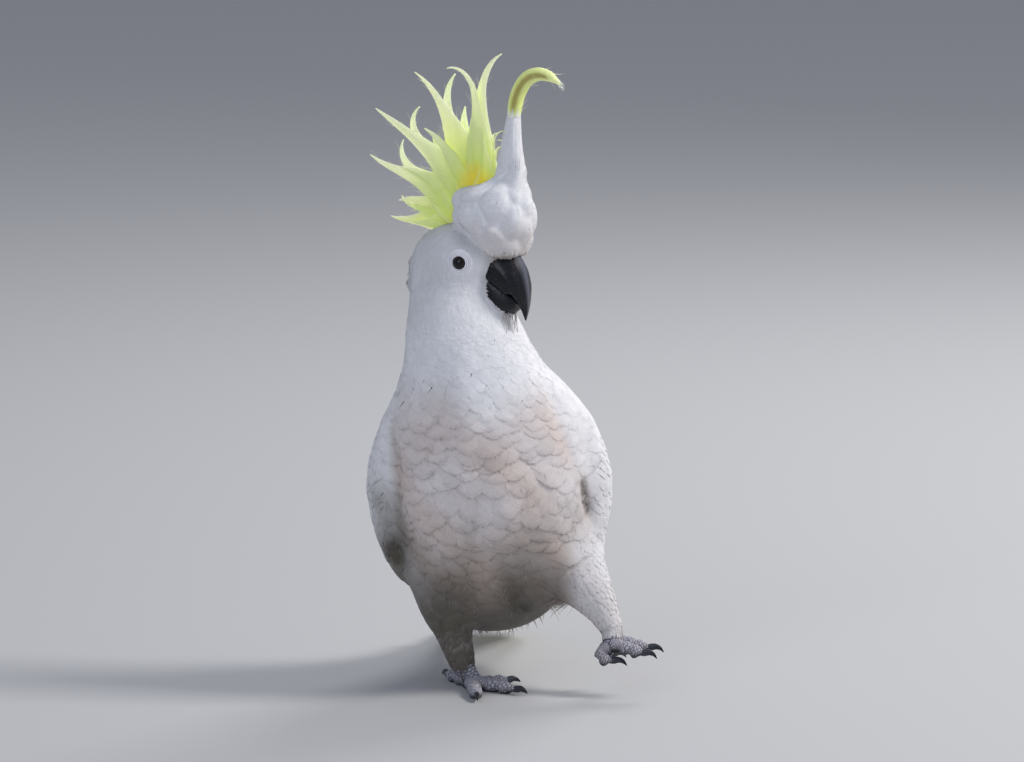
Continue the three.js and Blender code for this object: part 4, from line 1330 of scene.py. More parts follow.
def makeCrestMaterial():
    look = crestLook
    material, tree, shader = newMaterial(
        "yellowCrest", look["roughness"], Specular_IOR_Level=look["gloss"], Emission_Strength=look["paintedGlow"],
        Subsurface_Weight=look["softness"], Subsurface_Scale=look["softDepth"],
        Subsurface_Radius=(1.0, 1.0, 0.5))
    colour = layColours(
        tree, look["golden"], (scaleValue(tree, "reach", 0.05, 0.24), look["lime"]),
        (scaleValue(tree, "reach", 0.2, 0.75), look["pale"]), ("edge", look["edge"]),
        ("grooveShade", look["grooveShadeColour"]), ("white", plumageLook["white"]))
    barbs = placeGroup(tree, barbGroup, Slant=0.9, Fineness=0.8)
    colour = shadeFeather(tree, colour, barbs, look)
    addBump(tree, shader, barbs.outputs["Streak"], *look["bump"])
    give(tree, colour, shader.inputs["Base Color"])
    # painted glow: the base colour is emitted as well
    give(tree, colour, shader.inputs["Emission Color"])
    return material, "yellow_crest"


crestYellow = makeCrestMaterial()


def bladeLines(places, rows):
    # heading turns evenly along a blade and curls over its last part; the line is the sum of its steps
    forward, height, length, lean, turn, curl, splay, wide = np.array(places, float).T[..., None]
    t = evenly(rows)[None]
    heading = np.radians(lean + turn * t + curl * np.maximum((t - 0.6) / 0.4, 0) ** 2)
    step = length / (rows - 1)
    sideways = -np.sin(np.radians(splay)) * step + 0 * heading
    move = np.stack([sideways, -np.sin(heading) * step, np.cos(heading) * step], -1)
    start = np.stack([0 * forward, -forward, height], -1)
    return start + np.cumsum(move, axis=1) - move[:, :1], t, wide, length, splay


# twist and cup of the blades, where their gold ends, and the loose barbs on their edges
bladeForm = {
    "twist": 0.22, "tipTwist": 0.5, "thick": 0.42, "cup": 0.32, "cupVaries": 0.16, "wave": 0.03,
    "goldenLength": 75, "goldenRoot": 16, "barbs": 260, "barbHalf": 0.11,
}


def buildCrest():
    # half width = share * width * (1 + wave * sin * t); across is the fan's own side turned by twist
    form = bladeForm
    for name, (places, rows, columns, shares) in crestForms.items():
        line, t, wide, length, splay = bladeLines(places, rows)
        count = len(places)
        order = np.arange(count)[:, None]
        along = unit(np.gradient(line, axis=1))
        side = np.broadcast_to(unit(np.array([1, 0.2, 0])), along.shape)
        twist = (rng.uniform(-form["twist"], form["twist"], (count, 1))
                 + form["tipTwist"] * np.sign(splay) * t ** 2)
        across = np.cross(along, side) * np.cos(twist)[..., None] + side * np.sin(twist)[..., None]
        half = through(shares, t[0])[None] * wide * (1 + form["wave"] * np.sin(t * 23 + order * 2.4) * t)
        thick = form["thick"] * (1 - 0.6 * t) + 0 * half
        cup = np.where(splay > 0, -1, 1) * half * (form["cup"] + form["cupVaries"] * np.sin(order * 1.7))
        points, w = bladePoints(line, across, half, thick, cup, columns)
        # pale rims along both edges: painted highlight
        edge = np.clip((np.abs(w) - 0.75) / 0.25, 0, 1) * (0.35 + 0.5 * t[..., None])
        golden = np.clip(length / form["goldenLength"], 0.6, 1.2)
        nearRoot = bell(distanceTo(points, [(0, -6, 49)]), form["goldenRoot"])
        reach = (0.10 + 0.9 * t * golden)[..., None] * (1 - 0.95 * nearRoot)
        tone = rng.uniform(0, 1, (count, 1, 1))
        piece = shellPiece(name, fromHead(points), w * half[..., None], (t * length)[..., None], crestYellow,
                           {"reach": reach, "edge": edge, "tone": tone, "grooveShade": 0.0, "white": 0.0})
        if name == "crest_plumes":
            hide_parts(*[f"crest_plume_{k + 1}" for k in range(10)])
            # loose barbs standing off the blades' edges
            number = form["barbs"]
            pick = rng.integers(0, count, number)
            row = rng.integers(int(rows * 0.12), int(rows * 0.93), number)
            edgeSide = rng.choice([0, columns // 2], number)
            start = points[pick, row, edgeSide]
            out = across[pick, row] * np.where(edgeSide == 0, 1, -1)[:, None]
            direction = along[pick, row] + out * rng.uniform(0.1, 0.5, (number, 1))
            size = rng.uniform(3, 8, number)
            hairPiece("crest_barbs", fromHead(start), direction @ headAxes, out @ headAxes, size,
                      np.full(number, form["barbHalf"]), size * rng.uniform(-0.1, 0.25, number), crestYellow,
                      np.stack([rng.uniform(0, 1, number), rng.uniform(0, 1, number)], 1),
                      {"edge": 0.7, "tone": rng.uniform(0.4, 1, number), "grooveShade": 0.0, "white": 0.0})


buildCrest()


# crest front: fine feathers laid upwards over its pillows, and a ragged fringe hanging over the bill's base
crestFrontFeather = {
    "length": [1, 0.08], "half": [1, 0.08], "turn": [0, 0.06], "bend": [0, 0.08], "lift": 0.0,
    "roll": [0, 0.04], "tone": (0.4, 0.9), "ragged": 0.02, "tuck": 0.10,
}
fringeFeather = {
    "length": (4, 7), "half": (0.8, 1.5), "turn": [0, 0.25], "bend": [0, 0.3], "depth": 0.4, "lift": (0, 0.9),
    "cup": 0.1, "roll": [0, 0.3], "tone": (0, 1), "ragged": 0.06,
    "marks": {"stain": (0.4, 1), "grimeAndShade": (0, 0.45)},
}


def buildCrestFront(fringeCount=150):
    form = crestFrontCoat
    surface, up = crestFrontSurface()
    stepAlong, stepAcross = (np.interp(up, form["height"], form[key]) for key in ("stepAlong", "stepAcross"))
    u, v, points = layRows(surface, stepAlong, stepAcross, lambda points, u, v: v < 0.985, upwards=True)
    at = toHead(points)[:, 2]
    length, half, depth = (np.interp(at, form["height"], form[key]) for key in ("length", "half", "depth"))
    shape = drawn(len(u), crestFrontFeather)
    coatPiece("crest_front_coat", surface, u, v, featherTemplate(4, 5, 5), shape | {
        "length": length * shape["length"], "half": half * shape["half"], "depth": depth, "cup": depth * 0.25,
        "marks": {"stain": 0.30 * (1 - ease(12, 30, at)), "grimeAndShade": 0.10 * (1 - ease(10, 18, at))},
    }, upwards=True)
    u, v = rng.uniform(0, 1, fringeCount), rng.uniform(0.085, 0.15, fringeCount)
    coatPiece("crest_front_fringe", surface, u, v, featherTemplate(2, 4, 4),
              drawn(fringeCount, fringeFeather))


buildCrestFront()

# crest tip: a rolled leaf, yellow outside with a groove along its side, painted mustard as shade in the groove
# and more faintly over the whole leaf
crestTip = {
    "path": [
        (0, -33.5, 80), (0, -33.7, 92.3), (0, -36.3, 105), (0, -42.6, 115),
        (0, -51, 119), (0, -60, 118), (0, -67.5, 114),
    ],
    "wide": [2.6, 4.0, 4.5, 4.4, 4.0, 2.9, 0.7],
    "front": [2.6, 4.0, 4.5, 4.5, 4.1, 3.0, 0.7],
    "grooveAt": 3.35, "grooveHalf": 0.62, "grooveDepth": 0.38,
    "rows": 110, "columns": 72, "length": 75.0,
    # fine hairs: at the very tip and along the leaf
    "tipHairs": 26, "sideHairs": 20,
}


def buildCrestTip():
    # point = middle + (edge - middle) * (1 - depth * groove + fine ripples)
    form = crestTip
    rows, columns = form["rows"], form["columns"]
    grid, inside = tube(form, rows, columns)
    a = turnRound(columns)
    t = evenly(rows)[:, None]
    groove = (bell(a[None] - form["grooveAt"], form["grooveHalf"])
              * ease(0.08, 0.3, t) * (1 - ease(0.74, 0.93, t)))
    size = 1 - form["grooveDepth"] * groove + 0.035 * np.sin(a * 9 + t * 5) * np.sin(t * 3.1)
    grid = inside[:, None] + (grid - inside[:, None]) * size[..., None]
    piece = shellPiece("crest_tip_leaf", fromHead(grid)[None], (a - np.pi) * 4.2, t * form["length"],
                       crestYellow, {
        "reach": 0.3 + 0.45 * t,
        "edge": 0.25 * np.sin(a) ** 2 * ease(0.7, 1, t),
        "tone": 0.35,
        # painted shade: mustard in the groove and faintly over the whole leaf
        "grooveShade": (0.16 + ease(0.1, 0.9, groove) * 0.66) * (1 - ease(0.8, 0.97, t)),
        "white": 1 - ease(0.15, 0.25, t + 0.02 * np.sin(a * 7)),
    })
    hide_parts("crest_tip")
    count = form["tipHairs"] + form["sideHairs"]
    row = np.concatenate([rng.integers(100, rows, form["tipHairs"]),
                          rng.integers(20, 100, form["sideHairs"])])
    column = rng.integers(0, columns, count)
    start = grid[row, column]
    out = unit(start - inside[row])
    ahead = unit(np.gradient(inside, axis=0))[row]
    tipHair = row >= 100
    stand = np.where(tipHair, 0.25, 0.6)[:, None] * rng.uniform(0.2, 1.2, (count, 1))
    direction = ahead + out * stand + np.array([0, 0, -0.2])
    size = np.where(tipHair, rng.uniform(3, 6, count), rng.uniform(3, 7, count))
    hairPiece("crest_tip_hairs", fromHead(start), direction @ headAxes, out @ headAxes, size,
              np.full(count, 0.13),
              size * rng.uniform(-0.3, 0.3, count), crestYellow, np.stack([column / columns, row / rows], 1),
              {"edge": 1.0, "tone": 1.0, "grooveShade": 0.0, "white": np.where(tipHair, 0.7, 0.2)})


buildCrestTip()

# bill: each section a loop from the cutting edge up to the ridge, pinched towards the ridge
billForms = {
    "bill_upper": {
        "ridge": [(22, 12.5), (28, 14), (34, 11.5), (40.5, 3), (43.5, -7), (44.5, -16), (44.3, -24),
                  (42.8, -31)],
        "edge": [(13, -1), (17, -5.5), (21, -8), (28, -12), (34, -15.5), (38.5, -18.5), (41, -25),
                 (42, -30.4)],
        "wide": [13.5, 13.5, 13.5, 12.5, 10.3, 6.6, 3.2, 0.5], "pinch": 0.52,
        # face feathers over its base: how many, their reach in shares of the bill, how far they scatter
        "feathers": 700, "span": 52, "scatter": 0.12, "stain": (0.3, 0.9),
    },
    "bill_lower": {
        "ridge": [(13, 0), (19, -3), (26, -7.5), (32, -12), (38.6, -18.5)],
        "edge": [(13, -19), (19, -24), (28, -28), (34.5, -26.8), (38.7, -21.5)],
        "wide": [12.6, 12.8, 11.8, 9.2, 5.0], "pinch": 0.1,
        "feathers": 620, "span": 36, "scatter": 0.3, "stain": (0, 0.35),
    },
}
rimFeather = {
    "half": (0.7, 1.2), "turn": [0, 0.22], "bend": [0, 0.25], "depth": 0.2, "lift": (0.1, 0.7), "cup": 0.1,
    "roll": [0, 0.3], "tone": (0, 1), "ragged": 0.07, "dome": 0.5,
}
hornLook = {
    "dark": (0.006, 0.006, 0.008), "powderAndHighlight": (0.20, 0.215, 0.27), "scratch": (0.16, 0.155, 0.17),
    "roughness": 0.34,
}


def makeHorn(name, look):
    # black, dusted with pale powder where the attribute says, which along the upper ridge is partly a painted
    # highlight, and finely scratched
    material, tree, shader = newMaterial(name, look["roughness"], Specular_IOR_Level=0.3)
    fine = objectTexture(tree, "TexNoise", Scale=900.0, Detail=4.0, Roughness=0.65)
    broad = objectTexture(tree, "TexNoise", Scale=130.0, Detail=3.0, Roughness=0.6)
    speckle = scaleValue(tree, fine.outputs["Fac"], 0.3, 0.7, 0.4, 1.0)
    dust = calc(tree, "MULTIPLY", scaleValue(tree, broad.outputs["Fac"], 0.35, 0.7), speckle)
    amount = calc(tree, "MAXIMUM", "powderAndHighlight", calc(tree, "MULTIPLY", dust, 0.07))
    amount = calc(tree, "MULTIPLY", amount, scaleValue(tree, fine.outputs["Fac"], 0.25, 0.75, 0.65, 1.0))
    colour = mixColour(tree, amount, look["dark"], look["powderAndHighlight"])
    # scratches: thin stretched noise where it peaks
    vane = newNode(tree, "UVMap", uv_map="vane")
    stretch = newNode(tree, "Mapping")
    stretch.inputs["Scale"].default_value = (190, 26, 1)
    stretch.inputs["Rotation"].default_value = (0, 0, 0.5)
    give(tree, vane.outputs[0], stretch.inputs["Vector"])
    lines = newNode(tree, "TexNoise", Scale=1.0, Detail=1.0)
    give(tree, stretch.outputs[0], lines.inputs["Vector"])
    scratch = scaleValue(tree, lines.outputs["Fac"], 0.68, 0.76, 0.0, 0.7)
    colour = mixColour(tree, calc(tree, "MULTIPLY", scratch, "wear"), colour, look["scratch"])
    give(tree, colour, shader.inputs["Base Color"])
    give(tree, scaleValue(tree, amount, 0.0, 0.6, look["roughness"] - 0.1, 0.7), shader.inputs["Roughness"])
    addBump(tree, shader, calc(tree, "ADD", lines.outputs["Fac"], fine.outputs["Fac"]), 0.35, 0.0002)
    return material, "black_horn"


blackHorn = makeHorn("blackHorn", hornLook)


def buildBill():
    # point = edge + (ridge - edge) * (1 + cos a) / 2, side = sin a * wide * (1 - pinch * max(cos a, 0)^1.6),
    # with nearly straight walls, sqrt(1 - |cos a|^9), on the half that meets the other mandible
    t, a = evenly(110), turnRound(96)
    turned, up = np.cos(a), (1 + np.cos(a)) / 2
    for name, form in billForms.items():
        upper = name == "bill_upper"
        ridge, edge, wide = (through(form[key], t) for key in ("ridge", "edge", "wide"))
        pinch = 1 - form["pinch"] * np.clip(turned, 0, 1) ** 1.6
        wall = np.sign(np.sin(a)) * np.sqrt(np.clip(1 - np.abs(turned) ** 9, 0, 1))
        boxed = turned < 0 if upper else turned > 0
        side = np.where(boxed, wall, np.sin(a)) * pinch * np.maximum(wide, 0.05)[:, None]
        flat = edge[:, None] + (ridge - edge)[:, None] * up[None, :, None]
        if upper:
            # a shallow furrow beside the ridge, and the notch in the cutting edge
            furrow = bell(np.abs(np.sin(a)) - 0.42, 0.16) * (turned > 0) * 0.06
            side = side * (1 - furrow * ease(0.05, 0.3, t)[:, None])
            notch = (bell(t - 0.63, 0.05) * 1.6 - bell(t - 0.52, 0.05) * 0.9)[:, None] * (1 - up) ** 2
            flat = flat + np.stack([0 * notch, notch], -1)
        # growth lines across
        growth = 0.004 * np.sin(t * 95 + 1.6 * np.sin(t * 31)) * ease(0.2, 0.5, t) * (1 - ease(0.86, 1.0, t))
        points = fromHead(np.stack([side * (1 + growth)[:, None], -flat[..., 0], flat[..., 1]], -1))
        # a pale stripe along the upper ridge: partly powder, partly a painted highlight
        ridgePowderAndHighlight = (bell(side, np.maximum(wide * 0.22, 0.5)[:, None]) * (turned > 0)
                  * upper * ease(0.08, 0.25, t)[:, None])
        powderAndHighlight = ridgePowderAndHighlight * 0.6 + 0.06 * (1 - ease(0.0, 0.25, t))[:, None]
        wear = 0.3 + 0.7 * bell(t - 0.3, 0.2)[:, None] * (up < 0.6)
        piece = shellPiece(name + "_horn", points[None], (a - np.pi) * 5, (t * 50)[:, None], blackHorn,
                           {"powderAndHighlight": powderAndHighlight, "wear": wear})
        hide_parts(name)
        # face feathers lying over the bill's base, longest under the lower mandible
        surface = surfaceOf(points, points.mean(1, keepdims=True))
        number = form["feathers"]
        u = rng.uniform(0, 1, number)
        top = (1 + np.cos(u * 2 * np.pi)) / 2
        limit = 0.20 + 0.05 * top ** 3 if upper else np.interp(top, [0, 0.3, 0.5, 1],
                                                               [0.70, 0.54, 0.38, 0.30])
        length = rng.uniform(3.5, 6.0, number)
        v = limit - length / form["span"] - rng.uniform(0, 1, number) ** 1.5 * form["scatter"]
        shape = drawn(number, rimFeather | {"marks": {"stain": form["stain"]}}) | {"length": length}
        shape["marks"]["grimeAndShade"] = rng.uniform(0, 0.35, number) * top if upper else 0.0
        coatPiece(name + "_rim", surface, u, np.maximum(v, 0.01), featherTemplate(2, 4, 3), shape,
                  upwards=True)


buildBill()

# eyes: a dark glossy ball with a slight bulge, and rings of bare skin folded round it
eyeForm = {
    "out": 22.3, "radius": 5.0, "bulge": 0.35, "bulgeHalf": 2.9, "look": 74, "rows": 64, "columns": 72,
    # distance from the look axis, height along it
    "lid": [
        (3.95, 2.4), (4.0, 3.1), (4.18, 3.6), (4.45, 3.78), (4.72, 3.66), (4.95, 3.42), (5.2, 3.48),
        (5.55, 3.52),
        (5.85, 3.32), (6.1, 3.16), (6.4, 3.24), (6.7, 3.14), (6.95, 2.92), (7.3, 2.82), (7.8, 2.5),
        (8.5, 1.2),
    ],
}
bareLook = {"skin": (0.92, 0.91, 0.94), "lidFoldShade": (0.22, 0.21, 0.25), "blotch": (0.55, 0.55, 0.60)}
eyeLook = {"pupil": (0.003, 0.003, 0.003), "iris": (0.020, 0.011, 0.007), "rim": (0.008, 0.006, 0.006)}


def makeEye():
    # near-black iris with faint streaks round a black pupil
    material, tree, shader = newMaterial("darkEye", 0.05, Specular_IOR_Level=0.35)
    streak = objectTexture(tree, "TexNoise", Scale=1400.0, Detail=2.0)
    layers = (streak.outputs["Fac"], eyeLook["iris"]), ("pupil", eyeLook["pupil"])
    give(tree, layColours(tree, eyeLook["rim"], *layers), shader.inputs["Base Color"])
    return material, "eye"


def makeBareSkin():
    # pale skin, darkened in its folds as painted shade, with soft blotches and pores
    material, tree, shader = newMaterial("bareSkin", 0.55, Specular_IOR_Level=0.4)
    pores = objectTexture(tree, "TexVoronoi", Scale=1700.0)
    soft = objectTexture(tree, "TexNoise", Scale=500.0, Detail=3.0)
    blotches = scaleValue(tree, soft.outputs["Fac"], 0.4, 0.8, 0, 0.35)
    colour = layColours(tree, bareLook["skin"], ("lidFoldShade", bareLook["lidFoldShade"]), (blotches, bareLook["blotch"]))
    give(tree, colour, shader.inputs["Base Color"])
    addBump(tree, shader, pores.outputs["Distance"], 0.3, 0.00015)
    return material, "bare_skin"


darkEye = makeEye()
bareSkin = makeBareSkin()


def eyeFrame(side):
    # the eye's centre, and its look, level and upright directions in the head's frame
    turnBy = np.radians(eyeForm["look"])
    look = np.array([side * np.sin(turnBy), -np.cos(turnBy), 0])
    level = np.array([-look[1], look[0], 0]) * side
    return np.array([side * eyeForm["out"], -eyeForward, eyeUp]), look, level, np.array([0, 0, 1.0])


# lid point = centre + height * look + radius * circle, both read off the lid's profile
def buildEyes():
    form = eyeForm
    rows, columns = form["rows"], form["columns"]
    a, latitude = turnRound(columns), np.linspace(0.02, np.pi - 0.02, rows)
    for sideName, side in (("left", 1), ("right", -1)):
        centre, look, level, upright = eyeFrame(side)
        # ball: latitude from the look axis, with the cornea swelling as exp(-(r / bulgeHalf)^2)
        away = np.sin(latitude) * form["radius"]
        ahead = (np.cos(latitude) * form["radius"]
                 + form["bulge"] * bell(away, form["bulgeHalf"]) * (latitude < 1.57))
        circle = np.cos(a)[:, None] * level + np.sin(a)[:, None] * upright
        ball = centre + ahead[:, None, None] * look + away[:, None, None] * circle[None]
        inwards = np.cross(circle[1] - circle[0], ball[1, 0] - ball[0, 0]) @ look < 0
        if inwards:
            ball = ball[:, ::-1]
        pupil = (1 - ease(2.3, 2.6, away)) * (latitude < 1.57)
        piece = shellPiece(f"eyeball_{sideName}", fromHead(ball)[None], 0.0, 0.0, darkEye,
                           {"pupil": pupil[:, None]})
        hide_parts(f"eye_{sideName}")
        # lids: the profile turned round the look axis, flattened a little above, closed behind
        profile = through(form["lid"], evenly(rows))
        back = np.stack([np.linspace(8.2, 4.1, 10), np.linspace(0.5, 0.8, 10)], 1)
        profile = np.concatenate([profile, back])
        out, rise = profile[:, :1], profile[:, 1:]
        wave = 0.05 * np.sin(a * 11) + 0.04 * np.sin(a * 17 + 1) + 0.10 * np.sin(a - 0.6)
        oval = 1 + 0.035 * np.cos(2 * a)
        radius = out * (oval[None] * ease(3.8, 4.6, out) + 1 - ease(3.8, 4.6, out))
        # folds fade in and out round the eye
        even = np.convolve(np.pad(rise[:, 0], 9, mode="edge"), np.ones(19) / 19, "valid")[:, None]
        keep = np.clip(0.8 + 0.35 * np.sin(2 * a + 1.9) + 0.25 * np.sin(3 * a + 0.4), 0.1, 1)[None]
        keep = keep * ease(4.9, 5.3, out) + 1 - ease(4.9, 5.3, out)
        height = even + (rise - even) * keep + wave[None] * bell(out - 5.2, 1.4)
        height = height - 0.010 * (radius * np.cos(a)) ** 2 * ease(4, 6, radius)
        lid = centre + height[..., None] * look + radius[..., None] * circle[None]
        # painted shade in the lids' creases
        crease = np.gradient(np.gradient(profile[:, 1]))
        inFront = np.arange(len(profile)) < rows - 4
        lidFoldShade = (np.clip(crease / 0.02, 0, 1) * inFront)[:, None] * (0.35 + 0.65 * keep)
        if inwards:
            lid, lidFoldShade = lid[:, ::-1], lidFoldShade[:, ::-1]
        # the last ring joins the first behind the lids
        k, last = np.arange(columns), (len(profile) - 1) * columns
        after = (k + 1) % columns
        joinLast = np.stack([last + k, last + after, after, k], 1)
        lastU, lastV = np.stack([k, k + 1, k + 1, k], 1) / columns, np.tile([0.97, 0.97, 1.0, 1.0],
                                                                            (columns, 1))
        bake = (shellCorners(len(profile), columns)[0], np.stack([lastU, lastV], -1))
        faces = [gridFaces(len(profile), columns, True), joinLast]
        piece = addMesh(f"eyelids_{sideName}", fromHead(lid), faces, bareSkin,
                        {"OFBake": np.concatenate([uv.reshape(-1, 2) for uv in bake])}, {"lidFoldShade": lidFoldShade})
        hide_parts(f"eye_ring_{sideName}")


buildEyes()

# feet: tubes with raised scales; the standing foot is flat where it meets the floor
footLook = {
    "scale": (0.55, 0.55, 0.62), "seam": (0.085, 0.08, 0.095),
    "sole": (0.018, 0.016, 0.018), "warm": (0.38, 0.30, 0.25),
}
# toe and claw: half sizes from root to tip; the claw's reach and drop along the toe's own line
toeForm = {
    "wide": [1.15, 1.08, 0.9, 1.0, 0.84, 0.92, 0.72, 0.4],
    "front": [1.1, 1.05, 0.88, 0.98, 0.8, 0.95, 0.7, 0.4],
    "side": (0.6, 0.8, 0.1), "rows": 84, "columns": 72,
    # scales round and along a toe near its root, towards its claw, and on the shank; how far they stand out
    "small": (13, 19), "broad": (7, 14), "shank": (10, 9), "relief": 0.62, "sunk": 0.3,
}
clawForm = {
    "wide": [1.7, 2.0, 1.6, 1.05, 0.18], "front": [1.9, 2.2, 1.9, 1.3, 0.2], "side": (0.6, 0.8, 0.1),
    "reach": [-1.5, 0.9, 3.8, 6.6, 9.0], "drop": [0.0, 0.3, 0.8, 0],
}
footForms = {
    "right": {
        "tarsus": {
            "path": [(-7, 2, 26), (-3.6, 1, 14), (-0.5, 0, 5.6)],
            "wide": [5, 4.9, 5.9], "front": [5.2, 5.1, 5.9],
        },
        "toes": [(116, 24, 4.0), (52, 34, 4.2), (4, 42, 4.3), (204, 37, 4.2)], "drop": 1.6,
    },
    "left": {
        "tarsus": {
            "path": [(85, -21.5, 46), (85.4, -24, 37.5), (85.5, -25.5, 29.5)],
            "wide": [5, 4.9, 5.9], "front": [5.2, 5.1, 6.0],
        },
        "toes": [
            ([(83, -23, 30), (80, -19, 27), (81.5, -15, 24.5), (86, -13, 24)], 4.0),
            ([(86, -27, 32), (92, -31, 31), (98, -34, 29.5), (104, -36, 28.5)], 4.2),
            ([(87, -24, 34), (94, -25, 33), (101, -26.5, 31), (108, -28, 30.5)], 4.3),
            ([(83, -27, 30), (79, -29, 27.5), (80, -31, 24), (85.5, -31.5, 23)], 4.0),
        ],
        "drop": 2.4,
    },
}


def makeFootSkin():
    # grey scales on dark seams, warm in patches, dark beneath, more so in patches
    look = footLook
    material, tree, shader = newMaterial("scaledSkin", 0.7, Specular_IOR_Level=0.35)
    fine = objectTexture(tree, "TexNoise", Scale=1100.0, Detail=4.0, Roughness=0.7)
    broad = objectTexture(tree, "TexNoise", Scale=140.0, Detail=2.0)
    rubbed = scaleValue(tree, fine.outputs["Fac"], 0.3, 0.62, 0.45, 1.0)
    warm = scaleValue(tree, broad.outputs["Fac"], 0.5, 0.75, 0, 0.35)
    soleVaries = scaleValue(tree, broad.outputs["Fac"], 0.3, 0.6, 0.75, 1.0)
    colour = layColours(
        tree, look["seam"], (calc(tree, "MULTIPLY", "scale", rubbed), look["scale"]),
        (warm, look["warm"]), (calc(tree, "MULTIPLY", "sole", soleVaries), look["sole"]))
    give(tree, colour, shader.inputs["Base Color"])
    addBump(tree, shader, fine.outputs["Fac"], 0.5, 0.0002)
    return material, "scaled_skin"


scaledSkin = makeFootSkin()


def scaleHeight(u, v, around, along):
    # rounded scales in staggered rows: 1 at a scale's middle, 0 in the seams between
    row = v * along
    x = (u * around + 0.5 * (np.floor(row) % 2)) % 1 - 0.5
    y = row % 1 - 0.5
    return np.sqrt(np.clip(1 - np.abs(x * 2) ** 2.6 - np.abs(y * 2) ** 2.6, 0, 1))


def buildFeet():
    # point = tube + out * (relief * scale - sunk + pads + ripples), held above the floor on the standing foot
    rows, columns = toeForm["rows"], toeForm["columns"]
    t, a = evenly(rows)[:, None], turnRound(columns)[None]
    for sideName, form in footForms.items():
        standing = sideName == "right"
        tubes = [tube(form["tarsus"], rows, columns)]
        claws = []
        for entry in form["toes"]:
            if standing:
                # straight along the floor from the shank: heading in degrees, length, thickness
                heading, length, thick = entry
                onward = np.array([np.sin(np.radians(heading)), -np.cos(np.radians(heading)), 0])
                share = np.array([0.02, 0.35, 0.7, 1])[:, None]
                path = onward * length * share + np.array([0, 0, 1]) * (3.4 + 0.6 * (share < 0.1))
            else:
                path, thick = np.array(entry[0], float), entry[1]
                onward = unit(path[3] - path[2]) * (1, 1, 0.4)
            sizes = {key: np.array(toeForm[key]) * thick for key in ("wide", "front")}
            toePath = through(path, np.linspace(0, 1, len(toeForm["wide"])))
            tubes.append(tube({"path": toePath, "side": toeForm["side"]} | sizes, rows, columns))
            reach, drop = (np.array(clawForm["reach"])[:, None],
                           np.array(clawForm["drop"] + [-form["drop"]])[:, None])
            clawPath = path[3] + reach * unit(onward) + drop * np.array([0, 0, 1.0])
            claws.append(tube(clawForm | {"path": clawPath}, 40, 28)[0])
        grid, inside = (np.stack(part) for part in zip(*tubes))
        out = unit(grid - inside[:, :, None])
        top = ease(-0.35, 0.45, out[..., 2])
        u = a / (2 * np.pi) + 0 * t
        shiftU, shiftV = 0.018 * ripple(grid, 9, 111), 0.020 * ripple(grid, 8, 113)
        # small scales near the root, broad ones towards the claw, and their own on the shank
        small, broad = (scaleHeight(u + shiftU, t + shiftV, *toeForm[key]) for key in ("small", "broad"))
        far = ease(0.25, 0.5, t)
        scale = small * (1 - far) + broad * far
        scale[0] = scaleHeight(u + shiftU[0], t + shiftV[0], *toeForm["shank"])
        scale = scale * (0.55 + 0.45 * top)
        pads = 0.5 * np.sin(t * 19) * (1 - top) * (np.arange(len(tubes)) > 0)[:, None, None]
        rise = toeForm["relief"] * scale - toeForm["sunk"] + pads + 0.22 * ripple(grid, 6, 71)
        grid = grid + out * rise[..., None]
        sole = (1 - ease(-0.75, -0.1, out[..., 2])) * (0.5 + 0.5 * (1 - scale))
        heel = 1 - ease(2, 9, np.linalg.norm(grid - inside[0, -1], axis=-1) + 3 * out[..., 2])
        sole = np.clip(sole + heel * (out[..., 2] < 0.3), 0, 1)
        shells = np.stack(claws)
        if standing:
            grid[..., 2] = np.maximum(grid[..., 2], 0.05 + 0.1 * (1 - scale))
            shells[..., 2] = np.maximum(shells[..., 2], 0.04)
        piece = shellPiece(f"foot_{sideName}", grid, (a - np.pi) * 4, t * 40, scaledSkin,
                           {"scale": scale, "sole": sole})
        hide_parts(f"tarsus_{sideName}", *[f"toe_{sideName}_{k}" for k in (1, 2, 3, 4)])
        reach = evenly(40)[:, None]
        piece = shellPiece(f"claws_{sideName}", shells, 0.0, reach * 11, blackHorn,
                           {"powderAndHighlight": 0.35 * (1 - reach), "wear": 0.2})
        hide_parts(*[f"claw_{sideName}_{k}" for k in (1, 2, 3, 4)])


buildFeet()

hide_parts("head", "neck", "trunk", "wing_left", "wing_right", "thigh_left", "thigh_right",
            "crest_front", "tail")
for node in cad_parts.values():
    if not node.data.materials:
        node.data.materials.append(plumage)

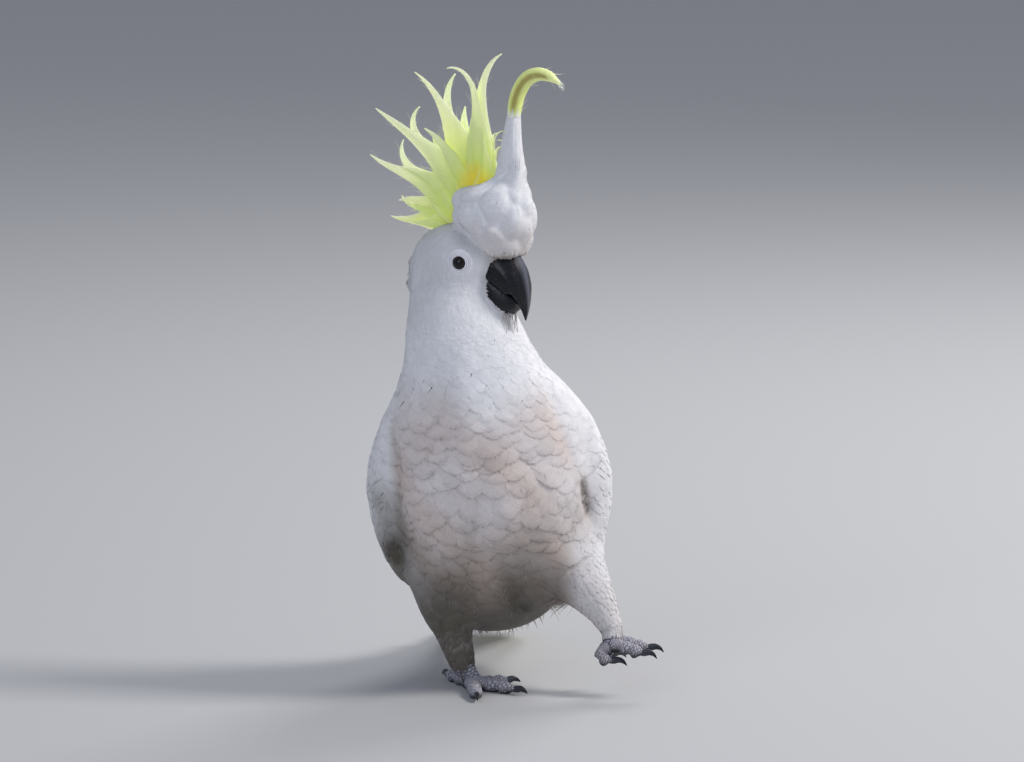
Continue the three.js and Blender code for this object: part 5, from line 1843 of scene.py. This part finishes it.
# camera at the front, a little above, and soft studio light
view = {"aim": (24.4, 0, 190.4), "distance": 5200, "elevation": 8, "lens": 300, "sensor": 36, "far": 50}
studio = {
    "floorHalf": 6.0, "floorColour": (0.50, 0.50, 0.50, 1), "floorRoughness": 0.8,
    "skyColour": (0.62, 0.66, 0.78, 1), "skyStrength": 0.48,
    # name, place (m), aim (m), size (m), power (W), colour
    "lamps": [
        ("keyLamp", (2.3, -0.5, 2.3), (0.02, 0, 0.2), 0.9, 66, (1.0, 0.97, 0.94)),
        ("fillLamp", (-0.9, -2.4, 1.6), (0.0, 0, 0.2), 1.6, 18, (0.78, 0.86, 1.0)),
        ("rimLamp", (0.9, 1.6, 1.6), (0.0, 0.05, 0.2), 1.0, 20, (1.0, 1.0, 1.0)),
    ],
}


def addObject(name, data):
    made = bpy.data.objects.new(name, data)
    bpy.context.scene.collection.objects.link(made)
    return made


tip = np.radians(view["elevation"])
cameraData = bpy.data.cameras.new("camera")
cameraData.lens, cameraData.sensor_width, cameraData.clip_end = view["lens"], view["sensor"], view["far"]
camera = addObject("camera", cameraData)
camera.location = (view["aim"] + view["distance"] * np.array([0, -np.cos(tip), np.sin(tip)])) * mm
camera.rotation_euler = (np.pi / 2 - tip, 0, 0)
bpy.context.scene.camera = camera

floorMesh = bpy.data.meshes.new("floor")
floorCorners = [(x * studio["floorHalf"], y * studio["floorHalf"], 0)
                for x, y in ((-1, -1), (1, -1), (1, 1), (-1, 1))]
floorMesh.from_pydata(floorCorners, [], [(0, 1, 2, 3)])
floorMesh.materials.append(newMaterial("paleFloor", studio["floorRoughness"],
                                       Base_Color=studio["floorColour"])[0])
floor = addObject("floor", floorMesh)

world = bpy.data.worlds.new("studio")
world.use_nodes = True
sky = world.node_tree.nodes["Background"]
sky.inputs["Color"].default_value = studio["skyColour"]
sky.inputs["Strength"].default_value = studio["skyStrength"]
bpy.context.scene.world = world
bpy.context.scene.view_settings.view_transform = "Standard"
for name, place, aim, size, power, colour in studio["lamps"]:
    lampData = bpy.data.lights.new(name, "AREA")
    lampData.size, lampData.energy, lampData.color = size, power, colour
    lamp = addObject(name, lampData)
    lamp.location = place
    x, y, z = np.array(aim) - np.array(place)
    lamp.rotation_euler = (np.arctan2(np.hypot(x, y), -z), 0, np.arctan2(y, x) - np.pi / 2)
